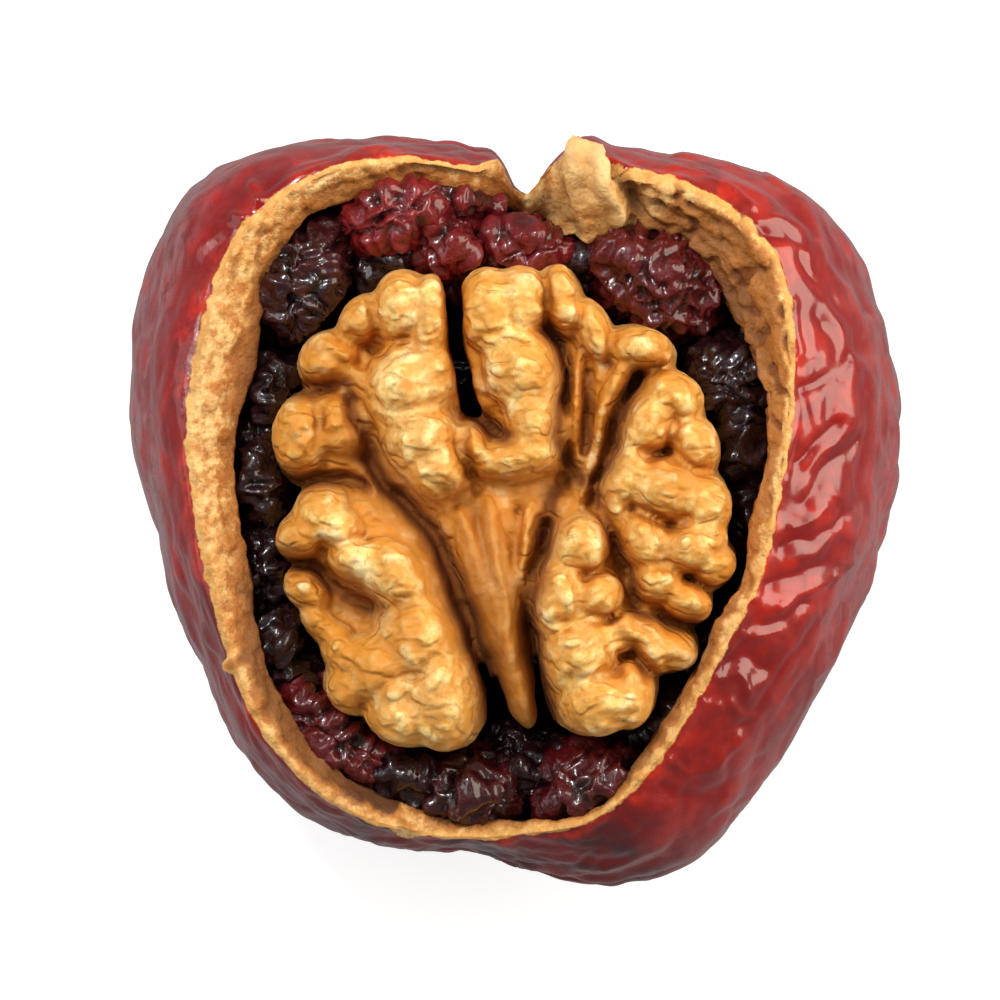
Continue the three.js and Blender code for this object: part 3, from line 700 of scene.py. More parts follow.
def with_large_folds(grid, rim):
    """The points of the grid, with the large folds of the skin."""
    p = grid.reshape(-1, 3)
    row = np.repeat(np.arange(len(grid)), SECTIONS)
    on_skin = (row > 0) & (row < LIP_ROW)
    fade = smooth_step(0, 1.2, -rim)
    calm = smooth_step(9, 13, p[:, 2])
    relief = skin_relief(p) * (1 - 0.55 * calm) - 0.04 * calm
    return p + outwards(p) * np.where(on_skin, relief * fade, 0)[:, None]


def right_flank(turn):
    """The crumpled, glassy flank."""
    return beside_angle(turn, 5, 55, 85)


def dusk(turn):
    """The darker skin at the tip end, fainter to either side of it: partly its own darker colour and
    partly painted shade.
    """
    left = 0.6 * beside_angle(turn, 222, 24, 40)
    right = 0.4 * beside_angle(turn, 312, 14, 30)
    return np.maximum(beside_angle(turn, 264, 20, 46), np.maximum(left, right))


def flap(turn):
    """The folded flap of papery flesh beside the notch."""
    return beside_angle(turn, 74, 6, 11)


def wobbly(p):
    """The places seen from above, moved a little, so that drawn lines aren't straight."""
    return p[:, :2] + 0.3 * drift(p, 1.9, (16, 17))


def skin_detail(p, turn):
    """Height of the skin's finer wrinkles, and how deep in a crease each point is, 0 to 1."""
    flank = right_flank(turn)
    high = smooth_step(8.0, 12.5, p[:, 2])
    drawn = smooth_step(10.5, 13.5, p[:, 2])
    warped = p + 0.9 * drift(p, 4.2, (1, 2, 3))
    places = wobbly(p)
    valley = np.zeros(len(p))
    crease = np.zeros(len(p))
    for depth, width, line in SKIN_CREASES:
        sharp = beside_line(places, line, width)
        wide = np.exp(-off_line(places, line) / (3.2 * width))
        valley = np.maximum(valley, depth * (0.75 * sharp + 0.45 * wide))
        crease = np.maximum(crease, sharp)
    ridge = np.zeros(len(p))
    for height, width, line in SKIN_RIDGES:
        ridge = np.maximum(ridge, height * beside_line(places, line, width))

    plates = facets(warped, (2.4, 3.8, 2.6), 1)
    soft = swell(warped, (2.4, 7.0, 2.6), 6)
    net = creases(warped, (3.4, 5.6, 3.0), 4)
    small = creases(warped, (1.5, 2.4, 1.4), 5)
    rough = 1 - 0.8 * flank * high
    detail = drawn * (ridge - valley)
    detail += high * (flank * 0.26 * plates + (1 - flank) * 0.2 * soft)
    detail += rough * (0.2 + 0.25 * (1 - high)) * (net - USUAL_CREASE)
    detail += rough * (0.2 - 0.1 * high + 0.1 * dusk(turn)) * (small - USUAL_CREASE)
    crease = np.maximum(crease * drawn, 0.7 * rough * np.clip(1 - net / 0.16, 0, 1))
    return detail, crease


def flesh_detail(p, turn, rim):
    """Height of the torn, spongy flesh, and the part of it that is drawn folds."""
    rough = 0.17 * swell(p, 2.4, 7) + 0.15 * swell(p, 1.1, 8) + 0.09 * swell(p, 0.55, 9)
    inside = smooth_step(2.4, 3.6, rim) * beside_angle(turn, 40, 22, 34)
    terraces = 0.16 * inside * np.sin(2 * np.pi * (rim + 0.5 * swell(p, 2.2, 14)) / TERRACE_WIDTH)
    pleats = np.abs(np.sin(np.pi * (turn + 1.2 * swell(p, 3.0, 15)) / PLEAT_ANGLE)) - 0.5
    folded = 0.3 * flap(turn) * smooth_step(8.5, 5.5, rim) * smooth_step(-0.5, 1.0, rim)
    height = rough - 0.4 * pits(p, turn) + terraces + folded * pleats
    places = wobbly(p)
    fold = np.zeros(len(p))
    for tall, width, line in FLESH_FOLDS:
        fold += tall * beside_line(places, line, width)
    return height + fold, fold


def pits(p, turn):
    """Small holes in the flesh, thick by the upper right and thin elsewhere."""
    upper_right = beside_angle(turn, 42, 24, 45)
    upper_left = 0.3 * beside_angle(turn, 120, 12, 24)
    thick = 0.3 + 0.7 * np.maximum(upper_right, upper_left)
    return thick * smooth_step(0.16, 0.5, swell(p, (0.9, 1.1, 0.9), 10))


def fruit_looks(smooth, turn, rim, crease, fold):
    """What the fruit's material reads at each point, then below the foot and on the floor inside."""
    glassy = right_flank(turn)
    clear = np.maximum(glassy, beside_angle(turn, 214, 22, 38))
    # Share of the dull bloom, which is partly waxy bloom and partly painted grazing reflection, and of
    # the dark threads
    bloom_and_reflection_share = 1 - 0.35 * glassy - dusk(turn) - 0.8 * beside_angle(turn, 104, 20, 38)
    bloom_and_reflection_share -= 0.2 * beside_angle(turn, 212, 14, 34)
    pale = np.interp(turn, *np.array(PALE_FLESH, float).T)
    looks = {
        "rim": (rim, -30, 40),
        "crease": (crease, 0.5, 0.5),
        "outer": (smooth_step(-1.2 - 2.6 * clear, -5.0 - 3.4 * clear, rim), 1, 0),
        "flank": (glassy, 0, 0),
        "dusk": (dusk(turn), 0.5, 0.5),
        "bloom_and_reflection_share": (np.clip(bloom_and_reflection_share, 0, 1), 0, 0),
        "flap": (flap(turn), 0, 0),
        "fold": (fold, 0, 0),
        "inward": (np.clip(rim / pale, 0, 3), 0, 3),
        "pit": (pits(smooth, turn), 0, 0),
    }
    return {name: np.append(values, [foot, floor]) for name, (values, foot, floor) in looks.items()}


def make_fruit():
    degrees = np.arange(SECTIONS) * 360 / SECTIONS
    grid = fruit_rows(degrees)
    index = np.arange(len(grid) * SECTIONS).reshape(-1, SECTIONS)
    after = np.roll(index, -1, axis=1)
    quads = np.stack([index[:-1], after[:-1], after[1:], index[1:]], axis=-1).reshape(-1, 4)
    turn = np.tile(degrees, len(grid))
    rim = from_lip(grid)
    p = with_large_folds(grid, rim)

    normals = corner_normals(p, quads)
    bare = np.interp(turn, *np.array(BARE_FLESH, float).T)
    rim = rim + bare * smooth_step(-4, -1, rim)
    fine, crease = skin_detail(p, turn)
    flesh, fold = flesh_detail(p, turn, rim)
    skin_share = smooth_step(0.15, -0.15, rim) * smooth_step(0, 2.0, p[:, 2])
    flesh_share = smooth_step(-0.1, 0.3, rim)
    p = p + normals * (fine * skin_share + flesh * flesh_share)[:, None]
    p[:, 2] = np.maximum(p[:, 2], 0)

    foot, floor = len(p), len(p) + 1
    p = np.vstack([p, p[:SECTIONS].mean(0), p[-SECTIONS:].mean(0)])
    faces = quads.tolist()
    faces += [(b, a, foot) for a, b in zip(index[0], after[0])]
    faces += [(a, b, floor) for a, b in zip(index[-1], after[-1])]
    piece = mesh_object("jujube_skin_and_flesh", p + SHIFT, faces)
    paint(piece, fruit_looks(grid.reshape(-1, 3), turn, rim, crease, fold))
    return piece


# The kernel


def lobe_field(axes, lobe):
    """The part of the grid near a lobe, as slices, and the distance to the lobe there."""
    x, y, long, short, turn, drop = lobe
    fall = KERNEL_DOME * min(1, math.hypot(x, y) / KERNEL_RADIUS) ** 2
    tall = LOBE_ROUNDNESS * math.sqrt(long * short) + LOBE_ROOT
    middle = np.array([x, y, CREST_HEIGHT - drop - fall - tall])
    size = np.array([long, short, tall])
    spread = max(long, short) + LOBE_REACH
    window = []
    for axis, (line, half) in enumerate(zip(axes, (spread, spread, tall + LOBE_REACH))):
        low = np.searchsorted(line, middle[axis] - half)
        high = np.searchsorted(line, middle[axis] + half)
        window.append(slice(low, high))
    gx, gy, gz = np.meshgrid(*[line[w] for line, w in zip(axes, window)], indexing="ij")
    lean = math.radians(turn)
    u = (gx - x) * math.cos(lean) + (gy - y) * math.sin(lean)
    v = -(gx - x) * math.sin(lean) + (gy - y) * math.cos(lean)
    w = gz - middle[2]
    k0 = np.sqrt((u / size[0]) ** 2 + (v / size[1]) ** 2 + (w / size[2]) ** 2)
    k1 = np.sqrt((u / size[0] ** 2) ** 2 + (v / size[1] ** 2) ** 2 + (w / size[2] ** 2) ** 2)
    return tuple(window), k0 * (k0 - 1) / np.maximum(k1, 1e-6)


def skirt(lobe):
    """A wider, lower lobe that fills the gaps beside this one without reaching further out."""
    x, y, long, short, turn, drop = lobe
    inwards = 1 - SKIRT / max(math.hypot(x, y), 2 * SKIRT)
    return x * inwards, y * inwards, long + SKIRT, short + SKIRT, turn, drop + SKIRT_DROP


def blend_in(field, window, distance, soft):
    """Joins a shape to the field, with a fillet of that softness."""
    old = field[window]
    h = np.clip(0.5 + 0.5 * (old - distance) / soft, 0, 1)
    field[window] = old * (1 - h) + distance * h - soft * h * (1 - h)


def carve(field, cut):
    """Takes a shape out of the field and rounds the edges."""
    h = np.clip(0.5 - 0.5 * (field - cut) / SOFT_GROOVE, 0, 1)
    return field * (1 - h) + cut * h + SOFT_GROOVE * h * (1 - h)


def kernel_reach(angles):
    """Distance from the middle to the outermost lobe's far edge, at each angle."""
    reach = np.zeros_like(angles)
    for x, y, long, short, turn, _ in itertools.chain(*KERNEL_LOBES.values()):
        lean = math.radians(turn)
        ray = np.array([np.cos(angles - lean) / long, np.sin(angles - lean) / short])
        east = (x * math.cos(lean) + y * math.sin(lean)) / long
        north = (y * math.cos(lean) - x * math.sin(lean)) / short
        centre = np.array([east, north])
        squared = (ray ** 2).sum(0)
        along = centre @ ray / squared
        miss = centre @ centre - along * (centre @ ray)
        far = along + np.sqrt(np.maximum(1 - miss, 0) / squared)
        reach = np.where(miss < 1, np.maximum(reach, far), reach)
    return reach


def lobes_blended(axes):
    """Distances to the lobes, blended within each group and then group by group."""
    shape = tuple(len(line) for line in axes)
    field = np.full(shape, FAR_OFF)
    for lobes in KERNEL_LOBES.values():
        group = np.full(shape, FAR_OFF)
        on_web = lobes is KERNEL_LOBES["web"]
        soft = SOFT_WEB if on_web else SOFT_IN_GROUP
        for lobe in lobes:
            blend_in(group, *lobe_field(axes, lobe), soft)
            if not on_web:
                blend_in(group, *lobe_field(axes, skirt(lobe)), soft)
        blend_in(field, WHOLE_GRID, group, SOFT_BETWEEN_GROUPS)
    return field


def kernel_body(axes, gx, gy):
    """Distances to the body that carries the lobes: a bowl with a lid, inside the lobes' outline."""
    table = np.radians(np.arange(-180, 181, 2.0))
    reach = kernel_reach(table)
    near = np.array([reach, np.roll(reach, 2), np.roll(reach, -2)]).mean(0)
    angle = np.arctan2(gy, gx)
    limit = np.interp(angle.ravel(), table, near).reshape(angle.shape) - BODY_INSET
    share = np.hypot(gx, gy) / limit
    dome = BODY_EDGE - (BODY_EDGE - BODY_BOTTOM) * np.sqrt(np.clip(1 - share ** 2, 0, 1))
    lid = BODY_TOP - BODY_LID_FALL * smooth_step(0.7, 1.0, share)
    z = axes[2][None, None, :]
    side = (share - 1)[..., None] * limit[..., None]
    below_and_above = np.maximum((dome[..., None] - z) * BODY_SLOPE, z - lid[..., None])
    return np.maximum(below_and_above, side * BODY_SIDE)


def kernel_field():
    """A grid of distances to the kernel's surface, negative inside."""
    axes = [np.arange(low, high, KERNEL_STEP) for low, high in KERNEL_LIMITS]
    gx, gy = np.meshgrid(axes[0], axes[1], indexing="ij")
    field = lobes_blended(axes)
    blend_in(field, WHOLE_GRID, kernel_body(axes, gx, gy), SOFT_BODY)
    flat = np.stack([gx.ravel(), gy.ravel()], axis=1)
    field = sunk(axes, field, kernel_drop(flat).reshape(gx.shape))
    places = flat + kernel_wander(flat)
    for half, line in KERNEL_CLEFTS:
        field = carve(field, half - off_line(places, line).reshape(gx.shape)[..., None])
    steep = np.sqrt(sum(part ** 2 for part in np.gradient(field, KERNEL_STEP)))
    return axes, field / np.maximum(steep, 1)


def kernel_wander(xy):
    """A small sideways drift, so that drawn grooves aren't straight."""
    at = np.column_stack([xy, np.zeros(len(xy))])
    return 0.25 * drift(at, 1.6, (18, 19))


def kernel_drop(xy):
    """How far the kernel's top is lowered by the grooves, at each place."""
    places = xy + kernel_wander(xy)
    drop = np.zeros(len(xy))
    for depth, width, line in KERNEL_GROOVES:
        off = np.hypot(off_line(places, line), GROOVE_BOTTOM)
        drop = np.maximum(drop, depth * np.exp((GROOVE_BOTTOM - off) / width))
    return drop


def sunk(axes, field, drop):
    """The field with its top part lowered."""
    z = axes[2]
    at = (z - z[0] + drop[..., None] * smooth_step(14.5, 18.5, z)) / KERNEL_STEP
    at = np.clip(at, 0, len(z) - 1.001)
    low = at.astype(int)
    t = at - low
    return np.take_along_axis(field, low, 2) * (1 - t) + np.take_along_axis(field, low + 1, 2) * t


def surface_points(axes, field):
    """A point in each cell that the zero surface crosses, and each cell's point number or -1."""
    size = [n - 1 for n in field.shape]
    corners = list(itertools.product((0, 1), repeat=3))
    views = {c: field[tuple(slice(k, k + n) for k, n in zip(c, size))] for c in corners}
    inside = np.zeros(size, int)
    cuts = np.zeros((*size, 3))
    count = np.zeros(size)
    for a in corners:
        inside += views[a] < 0
        for axis in range(3):
            if a[axis]:
                continue
            b = tuple(1 if k == axis else a[k] for k in range(3))
            va, vb = views[a], views[b]
            crossed = (va < 0) != (vb < 0)
            t = np.where(crossed, va / np.where(crossed, va - vb, 1), 0)
            for k in range(3):
                cuts[..., k] += np.where(crossed, a[k] + (t if k == axis else 0), 0)
            count += crossed
    active = (inside > 0) & (inside < len(corners))
    where = np.argwhere(active)
    offset = cuts[active] / count[active][:, None]
    numbers = np.full(size, -1)
    numbers[active] = np.arange(len(where))
    origin = np.array([line[0] for line in axes])
    return origin + (where + offset) * KERNEL_STEP, numbers


def surface_quads(field, numbers):
    """Four points round each grid edge that the zero surface crosses, facing outwards."""
    quads = []
    for axis in range(3):
        u, v = (axis + 1) % 3, (axis + 2) % 3
        first = [slice(1, -1)] * 3
        second = [slice(1, -1)] * 3
        first[axis] = slice(0, -1)
        second[axis] = slice(1, None)
        solid = field[tuple(first)] < 0
        crossed = np.argwhere(solid != (field[tuple(second)] < 0))
        ring = []
        for du, dv in ((1, 1), (0, 1), (0, 0), (1, 0)):
            cell = crossed.copy()
            cell[:, u] += du
            cell[:, v] += dv
            ring.append(numbers[tuple(cell.T)])
        ring = np.stack(ring, axis=1)
        turned = ~solid[tuple(crossed.T)]
        ring[turned] = ring[turned][:, ::-1]
        quads.append(ring)
    quads = np.concatenate(quads)
    return quads[(quads >= 0).all(1)]


def sampled(axes, field, points):
    """The field at any points, between its grid values."""
    at = np.stack([(points[:, k] - axes[k][0]) / KERNEL_STEP for k in range(3)], axis=1)
    at = np.clip(at, 0, np.array(field.shape) - 1.001)
    cell = at.astype(int)
    t = at - cell
    total = np.zeros(len(points))
    for corner in itertools.product((0, 1), repeat=3):
        share = np.where(corner, t, 1 - t).prod(1)
        total += share * field[tuple((cell + corner).T)]
    return total


def spots(xy, places):
    """1 in the middle of each place, fading to 0 at its radius."""
    share = np.zeros(len(xy))
    for x, y, radius in places:
        away = np.hypot(xy[:, 0] - x, xy[:, 1] - y)
        share = np.maximum(share, smooth_step(radius, 0.3 * radius, away))
    return share


def kernel_bumps(points, normals, drop, web):
    """Height of the pillowed skin, with ribs across the upper lobes, fainter in grooves."""
    warped = points + 0.5 * drift(points, 2.2, (31, 32, 33))
    bumps = np.zeros(len(points))
    for weight, size, seed in KERNEL_PILLOWS:
        bumps += weight * (pillows(warped, size, seed) - USUAL_CREASE)
    across = points[:, 1] - 0.25 * points[:, 0] + 0.9 * swell(points, 2.6, 34)
    upper = smooth_step(0.5, 3.0, points[:, 1]) * smooth_step(5.2, 3.8, np.abs(points[:, 0] + 2.5))
    bumps += 0.15 * upper * (np.sqrt(np.abs(np.sin(np.pi * across / RIB_WIDTH))) - 0.8)
    bumps *= 1 - 0.6 * np.clip(drop, 0, 1)
    bumps *= 0.3 + 0.7 * smooth_step(0.1, 0.6, normals[:, 2])
    bumps *= 1 - 0.6 * web
    return bumps


def make_kernel():
    axes, field = kernel_field()
    points, numbers = surface_points(axes, field)
    quads = surface_quads(field, numbers)
    points = relaxed(points, quads, 2)
    normals = corner_normals(points, quads)
    for _ in range(2):
        points = points - normals * sampled(axes, field, points)[:, None] * 0.8
    points = relaxed(points, quads, 1)
    normals = corner_normals(points, quads)
    narrow, wide = (
        1 - sampled(axes, field, points + normals * reach) / reach for reach in GROOVE_REACHES
    )
    seen = points[:, :2]
    drop = kernel_drop(seen)
    web = smooth_step(1.9, 0.9, off_line(seen, WEB_LINE))
    bumps = kernel_bumps(points, normals, drop, web)
    # Painted shade along the low bank beside the main groove
    bank_shade = 0.8 * smooth_step(1.5, 0.4, off_line(seen, SHADED_BANK_LINE))
    # Painted shade down steep sides and in low places
    steep = smooth_step(0.75, 0.25, normals[:, 2])
    side = np.maximum(steep, smooth_step(23.5, 21.7, points[:, 2]))
    # The grooves, drop, side and bank carry painted shade, the height painted highlights on crests and
    # painted shade in hollows, and the light painted pools of light
    looks = {
        "groove": np.clip(narrow, 0, 1.5),
        "wide_groove": np.clip(wide, 0, 1.5),
        "height": bumps,
        "drop": drop,
        "web": np.maximum(web, bank_shade),
        "side": np.maximum(side, spots(seen, SHADED_SPOTS)),
        "light": spots(seen, LIT_SPOTS),
    }
    points = points + normals * bumps[:, None]
    piece = mesh_object("walnut_kernel_half", points + SHIFT, quads.tolist())
    paint(piece, looks)
    return piece


# The raisins


def evened_out(packed, step):
    """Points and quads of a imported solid, remeshed in even steps."""
    copy = bpy.data.objects.new("even", packed.data.copy())
    bpy.context.scene.collection.objects.link(copy)
    even = copy.modifiers.new("even", "REMESH")
    even.mode = "VOXEL"
    even.voxel_size = step * MM
    bpy.context.view_layer.update()
    made = copy.evaluated_get(bpy.context.evaluated_depsgraph_get()).to_mesh()
    points = np.empty(len(made.vertices) * 3)
    made.vertices.foreach_get("co", points)
    points = points.reshape(-1, 3) / MM
    quads = np.array([list(face.vertices) for face in made.polygons if len(face.vertices) == 4])
    copy.to_mesh_clear()
    bpy.data.objects.remove(copy)
    return points, quads


def make_raisin(packed, count):
    """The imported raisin, evened out and puckered."""
    step = HIDDEN_STEP if count >= HIDDEN_RAISINS_FROM else RAISIN_STEP
    points, quads = evened_out(packed, step)
    points = relaxed(points, quads, 6)
    normals = corner_normals(points, quads)
    middle = points.mean(0)
    _, axes = np.linalg.eigh(np.cov((points - middle).T))
    own = (points - middle) @ axes + 7.3 * count
    east, north, growth = RAISIN_FIT.get(count, (0, 0, 1))
    points = middle + (points - middle) * [growth, growth, 1] + [east, north, 0]
    warped = own + 0.45 * drift(own, 1.5, (21, 22, 23))
    height = np.full(len(points), RAISIN_SWELL)
    for weight, size, seed in RAISIN_PUCKERS:
        height += weight * (USUAL_CREASE - creases(warped, size, seed))
    points = points + normals * height[:, None]
    piece = mesh_object(f"raisin_{count:02d}_skin", points, quads.tolist())
    tone = np.full(len(points), RAISIN_TONE.get(count, USUAL_TONE))
    # The valley share is painted shade in the wrinkles' valleys
    paint(piece, {"valley": np.clip(1.3 - height / 0.5, 0, 1), "tone": tone})
    return piece


# Materials


def material(name):
    made = bpy.data.materials.new(name)
    made.use_nodes = True
    made.node_tree.nodes.clear()
    return made


def node(tree, kind, inputs=None, **settings):
    """A shader node, with its inputs set to values or linked to other nodes' outputs."""
    made = tree.nodes.new(kind)
    for key, value in settings.items():
        setattr(made, key, value)
    for key, value in (inputs or {}).items():
        if isinstance(value, bpy.types.NodeSocket):
            tree.links.new(value, made.inputs[key])
        else:
            made.inputs[key].default_value = value
    return made


def noise(tree, scale, detail, rough, seed, squeeze=(1, 1, 1)):
    """Noise in millimetre waves: scale is the size of one wave."""
    at = node(tree, "ShaderNodeTexCoord").outputs["Object"]
    place = {"Vector": at, "Location": (seed, seed, seed), "Scale": squeeze}
    vector = node(tree, "ShaderNodeMapping", place).outputs[0]
    waves = {"Vector": vector, "Scale": 1 / (scale * MM), "Detail": detail, "Roughness": rough}
    return node(tree, "ShaderNodeTexNoise", waves).outputs["Fac"]


def number(tree, operation, a, b=0.0):
    return node(tree, "ShaderNodeMath", {0: a, 1: b}, operation=operation).outputs[0]


def times(tree, a, b):
    return number(tree, "MULTIPLY", a, b)


def ranged(tree, value, low, high, to_low=0.0, to_high=1.0):
    """The value stretched from one range to another, and clamped."""
    span = {"Value": value, "From Min": low, "From Max": high, "To Min": to_low, "To Max": to_high}
    return node(tree, "ShaderNodeMapRange", span, interpolation_type="SMOOTHSTEP").outputs[0]


def upto(tree, value, low, high, most):
    """0 up to low and the most from high on."""
    return ranged(tree, value, low, high, 0.0, most)


def mixed(tree, share, a, b):
    """A colour between two others."""
    return node(tree, "ShaderNodeMix", {0: share, 6: a, 7: b}, data_type="RGBA").outputs[2]


def rgb(red, green, blue):
    """A colour from screen values of 0 to 255."""
    parts = [value / 255 for value in (red, green, blue)]
    return tuple(c / 12.92 if c <= 0.04045 else ((c + 0.055) / 1.055) ** 2.4 for c in parts) + (1,)


def layered(tree, colour, layers):
    """The colour with others over it, each a share and its screen values."""
    for share, over in layers:
        colour = mixed(tree, share, colour, rgb(*over))
    return colour


def attribute(tree, name):
    return node(tree, "ShaderNodeAttribute", attribute_name=name).outputs["Fac"]


def bumped(tree, layers):
    """The normal with bumps on it, each a height from 0 to 1 and its size in millimetres."""
    under = {}
    for height, size in layers:
        inputs = {"Height": height, "Distance": size * MM, "Strength": 1.0, **under}
        under = {"Normal": node(tree, "ShaderNodeBump", inputs).outputs[0]}
    return under["Normal"]


def principled(tree, inputs):
    return node(tree, "ShaderNodeBsdfPrincipled", inputs).outputs[0]


def finish_material(made, surface):
    node(made.node_tree, "ShaderNodeOutputMaterial", {"Surface": surface})
    return made


def skin_surface(tree, rim, dark):
    """Deep red skin, glassy on one flank and with a dull bloom elsewhere that is partly painted
    grazing reflection; a painted glow along the lip, and painted shade in the creases and at the tip
    end.
    """
    flank = attribute(tree, "flank")
    bloom_and_reflection_share = attribute(tree, "bloom_and_reflection_share")
    patches = noise(tree, 5.0, 3, 0.6, 3.0)
    streaks = noise(tree, 1.5, 3, 0.6, 7.0, (1.0, 0.45, 1.0))
    blotches = noise(tree, 2.4, 3, 0.6, 4.0)
    threads = noise(tree, 0.7, 4, 0.65, 9.0, (1.0, 0.4, 1.0))
    # Painted glow: a brighter orange-red band along the lip
    painted_glow = times(tree, ranged(tree, rim, -1.6, -0.3), ranged(tree, patches, 0.4, 0.55))
    # Dull bloom on the outer skin: partly waxy bloom and partly painted grazing reflection
    bloom_and_painted_reflection = times(tree, attribute(tree, "outer"), ranged(tree, streaks, 0.4, 0.6, 0.25, 1.0))
    red = mixed(tree, ranged(tree, patches, 0.35, 0.65), rgb(140, 13, 12), rgb(174, 25, 18))
    red = layered(
        tree,
        red,
        [
            (times(tree, flank, 0.85), (170, 30, 10)),
            # Darker at the tip end: partly darker skin and partly painted shade
            (times(tree, dark, ranged(tree, patches, 0.7, 0.4, 0.6, 1.0)), (66, 10, 15)),
            (painted_glow, (186, 40, 16)),
            (times(tree, ranged(tree, blotches, 0.42, 0.6), 0.6), (104, 12, 12)),
            (times(tree, bloom_and_painted_reflection, bloom_and_reflection_share), (144, 92, 94)),
            (times(tree, upto(tree, threads, 0.52, 0.62, 0.5), bloom_and_reflection_share), (96, 22, 26)),
            # Painted shade in the creases
            (times(tree, ranged(tree, attribute(tree, "crease"), 0.1, 0.9), 0.7), (128, 10, 8)),
        ],
    )
    uneven = ranged(tree, flank, 0, 1, 1.0, 0.25)
    wrinkle = times(tree, noise(tree, 1.1, 3, 0.5, 5.0), uneven)
    fine = times(tree, noise(tree, 0.45, 4, 0.6, 8.0), uneven)
    looks = {
        "Base Color": red,
        "Roughness": ranged(tree, noise(tree, 1.7, 2, 0.5, 6.0), 0.3, 0.7, 0.24, 0.38),
        "Normal": bumped(tree, [(wrinkle, 0.22), (fine, 0.04)]),
        "Specular IOR Level": 0.3,
        "Coat Weight": 0.8,
        "Coat Roughness": 0.14,
        "Sheen Weight": 0.1,
        "Sheen Roughness": 0.4,
        "Sheen Tint": (0.8, 0.72, 0.78, 1),
    }
    return principled(tree, looks)


def flesh_surface(tree, rim, dark):
    """Dull tan flesh, browner inside partly from painted shade towards the hollow, and papery on the
    flap with painted highlights on its ridges and painted shade in its folds.
    """
    broad = noise(tree, 2.6, 3, 0.6, 13.0)
    fibres = noise(tree, 0.8, 4, 0.6, 12.0, (1.0, 1.0, 0.5))
    strands = noise(tree, 0.5, 3, 0.6, 14.0, (1.0, 1.0, 0.4))
    fold = attribute(tree, "fold")
    waver = ranged(tree, fibres, 0.3, 0.7, -0.35, 0.35)
    inward = number(tree, "ADD", attribute(tree, "inward"), waver)
    tan = mixed(tree, ranged(tree, broad, 0.35, 0.65), rgb(218, 156, 82), rgb(240, 198, 130))
    tan = layered(
        tree,
        tan,
        [
            (upto(tree, fibres, 0.40, 0.62, 0.8), (196, 124, 54)),
            (upto(tree, strands, 0.52, 0.68, 0.6), (252, 218, 150)),
            # Browner inwards from the lip: partly browner flesh and partly painted shade towards the
            # hollow
            (upto(tree, inward, 0.7, 1.3, 0.85), (178, 108, 44)),
            (upto(tree, strands, 0.5, 0.34, 0.5), (150, 92, 38)),
            (upto(tree, attribute(tree, "pit"), 0.05, 0.8, 0.9), (128, 70, 26)),
            # Painted shade down the wall of the hollow
            (upto(tree, rim, 2.4, 5.5, 0.85), (98, 52, 22)),
        ],
    )
    papery = mixed(tree, ranged(tree, fibres, 0.35, 0.65), rgb(232, 184, 116), rgb(196, 138, 70))
    tan = layered(
        tree,
        mixed(tree, attribute(tree, "flap"), tan, papery),
        [
            # Painted highlights on the ridges of the folds and painted shade in their hollows
            (upto(tree, fold, 0.1, 0.6, 0.6), (248, 212, 148)),
            (upto(tree, fold, -0.1, -0.6, 0.7), (112, 66, 28)),
            (upto(tree, rim, 0.9, 0.1, 0.6), (236, 176, 92)),
            # Darker at the tip end, partly browner flesh and partly painted shade, then painted shade
            # inwards towards the hollow there
            (times(tree, dark, 0.2), (150, 98, 42)),
            (times(tree, dark, ranged(tree, inward, 1.2, 2.2)), (92, 54, 28)),
        ],
    )
    normal = bumped(tree, [(fibres, 0.3), (noise(tree, 0.35, 3, 0.6, 18.0), 0.08)])
    looks = {"Base Color": tan, "Roughness": 0.62, "Normal": normal, "Specular IOR Level": 0.35}
    return principled(tree, looks)


def fruit_material():
    made = material("jujube_skin_and_flesh")
    tree = made.node_tree
    rim = attribute(tree, "rim")
    dark = attribute(tree, "dusk")
    skin = skin_surface(tree, rim, dark)
    flesh = flesh_surface(tree, rim, dark)
    wander = ranged(tree, noise(tree, 0.9, 3, 0.5, 15.0), 0.2, 0.8, -0.18, 0.18)
    share = ranged(tree, number(tree, "ADD", rim, wander), -0.08, 0.08)
    both = node(tree, "ShaderNodeMixShader", {0: share, 1: skin, 2: flesh})
    return finish_material(made, both.outputs[0])


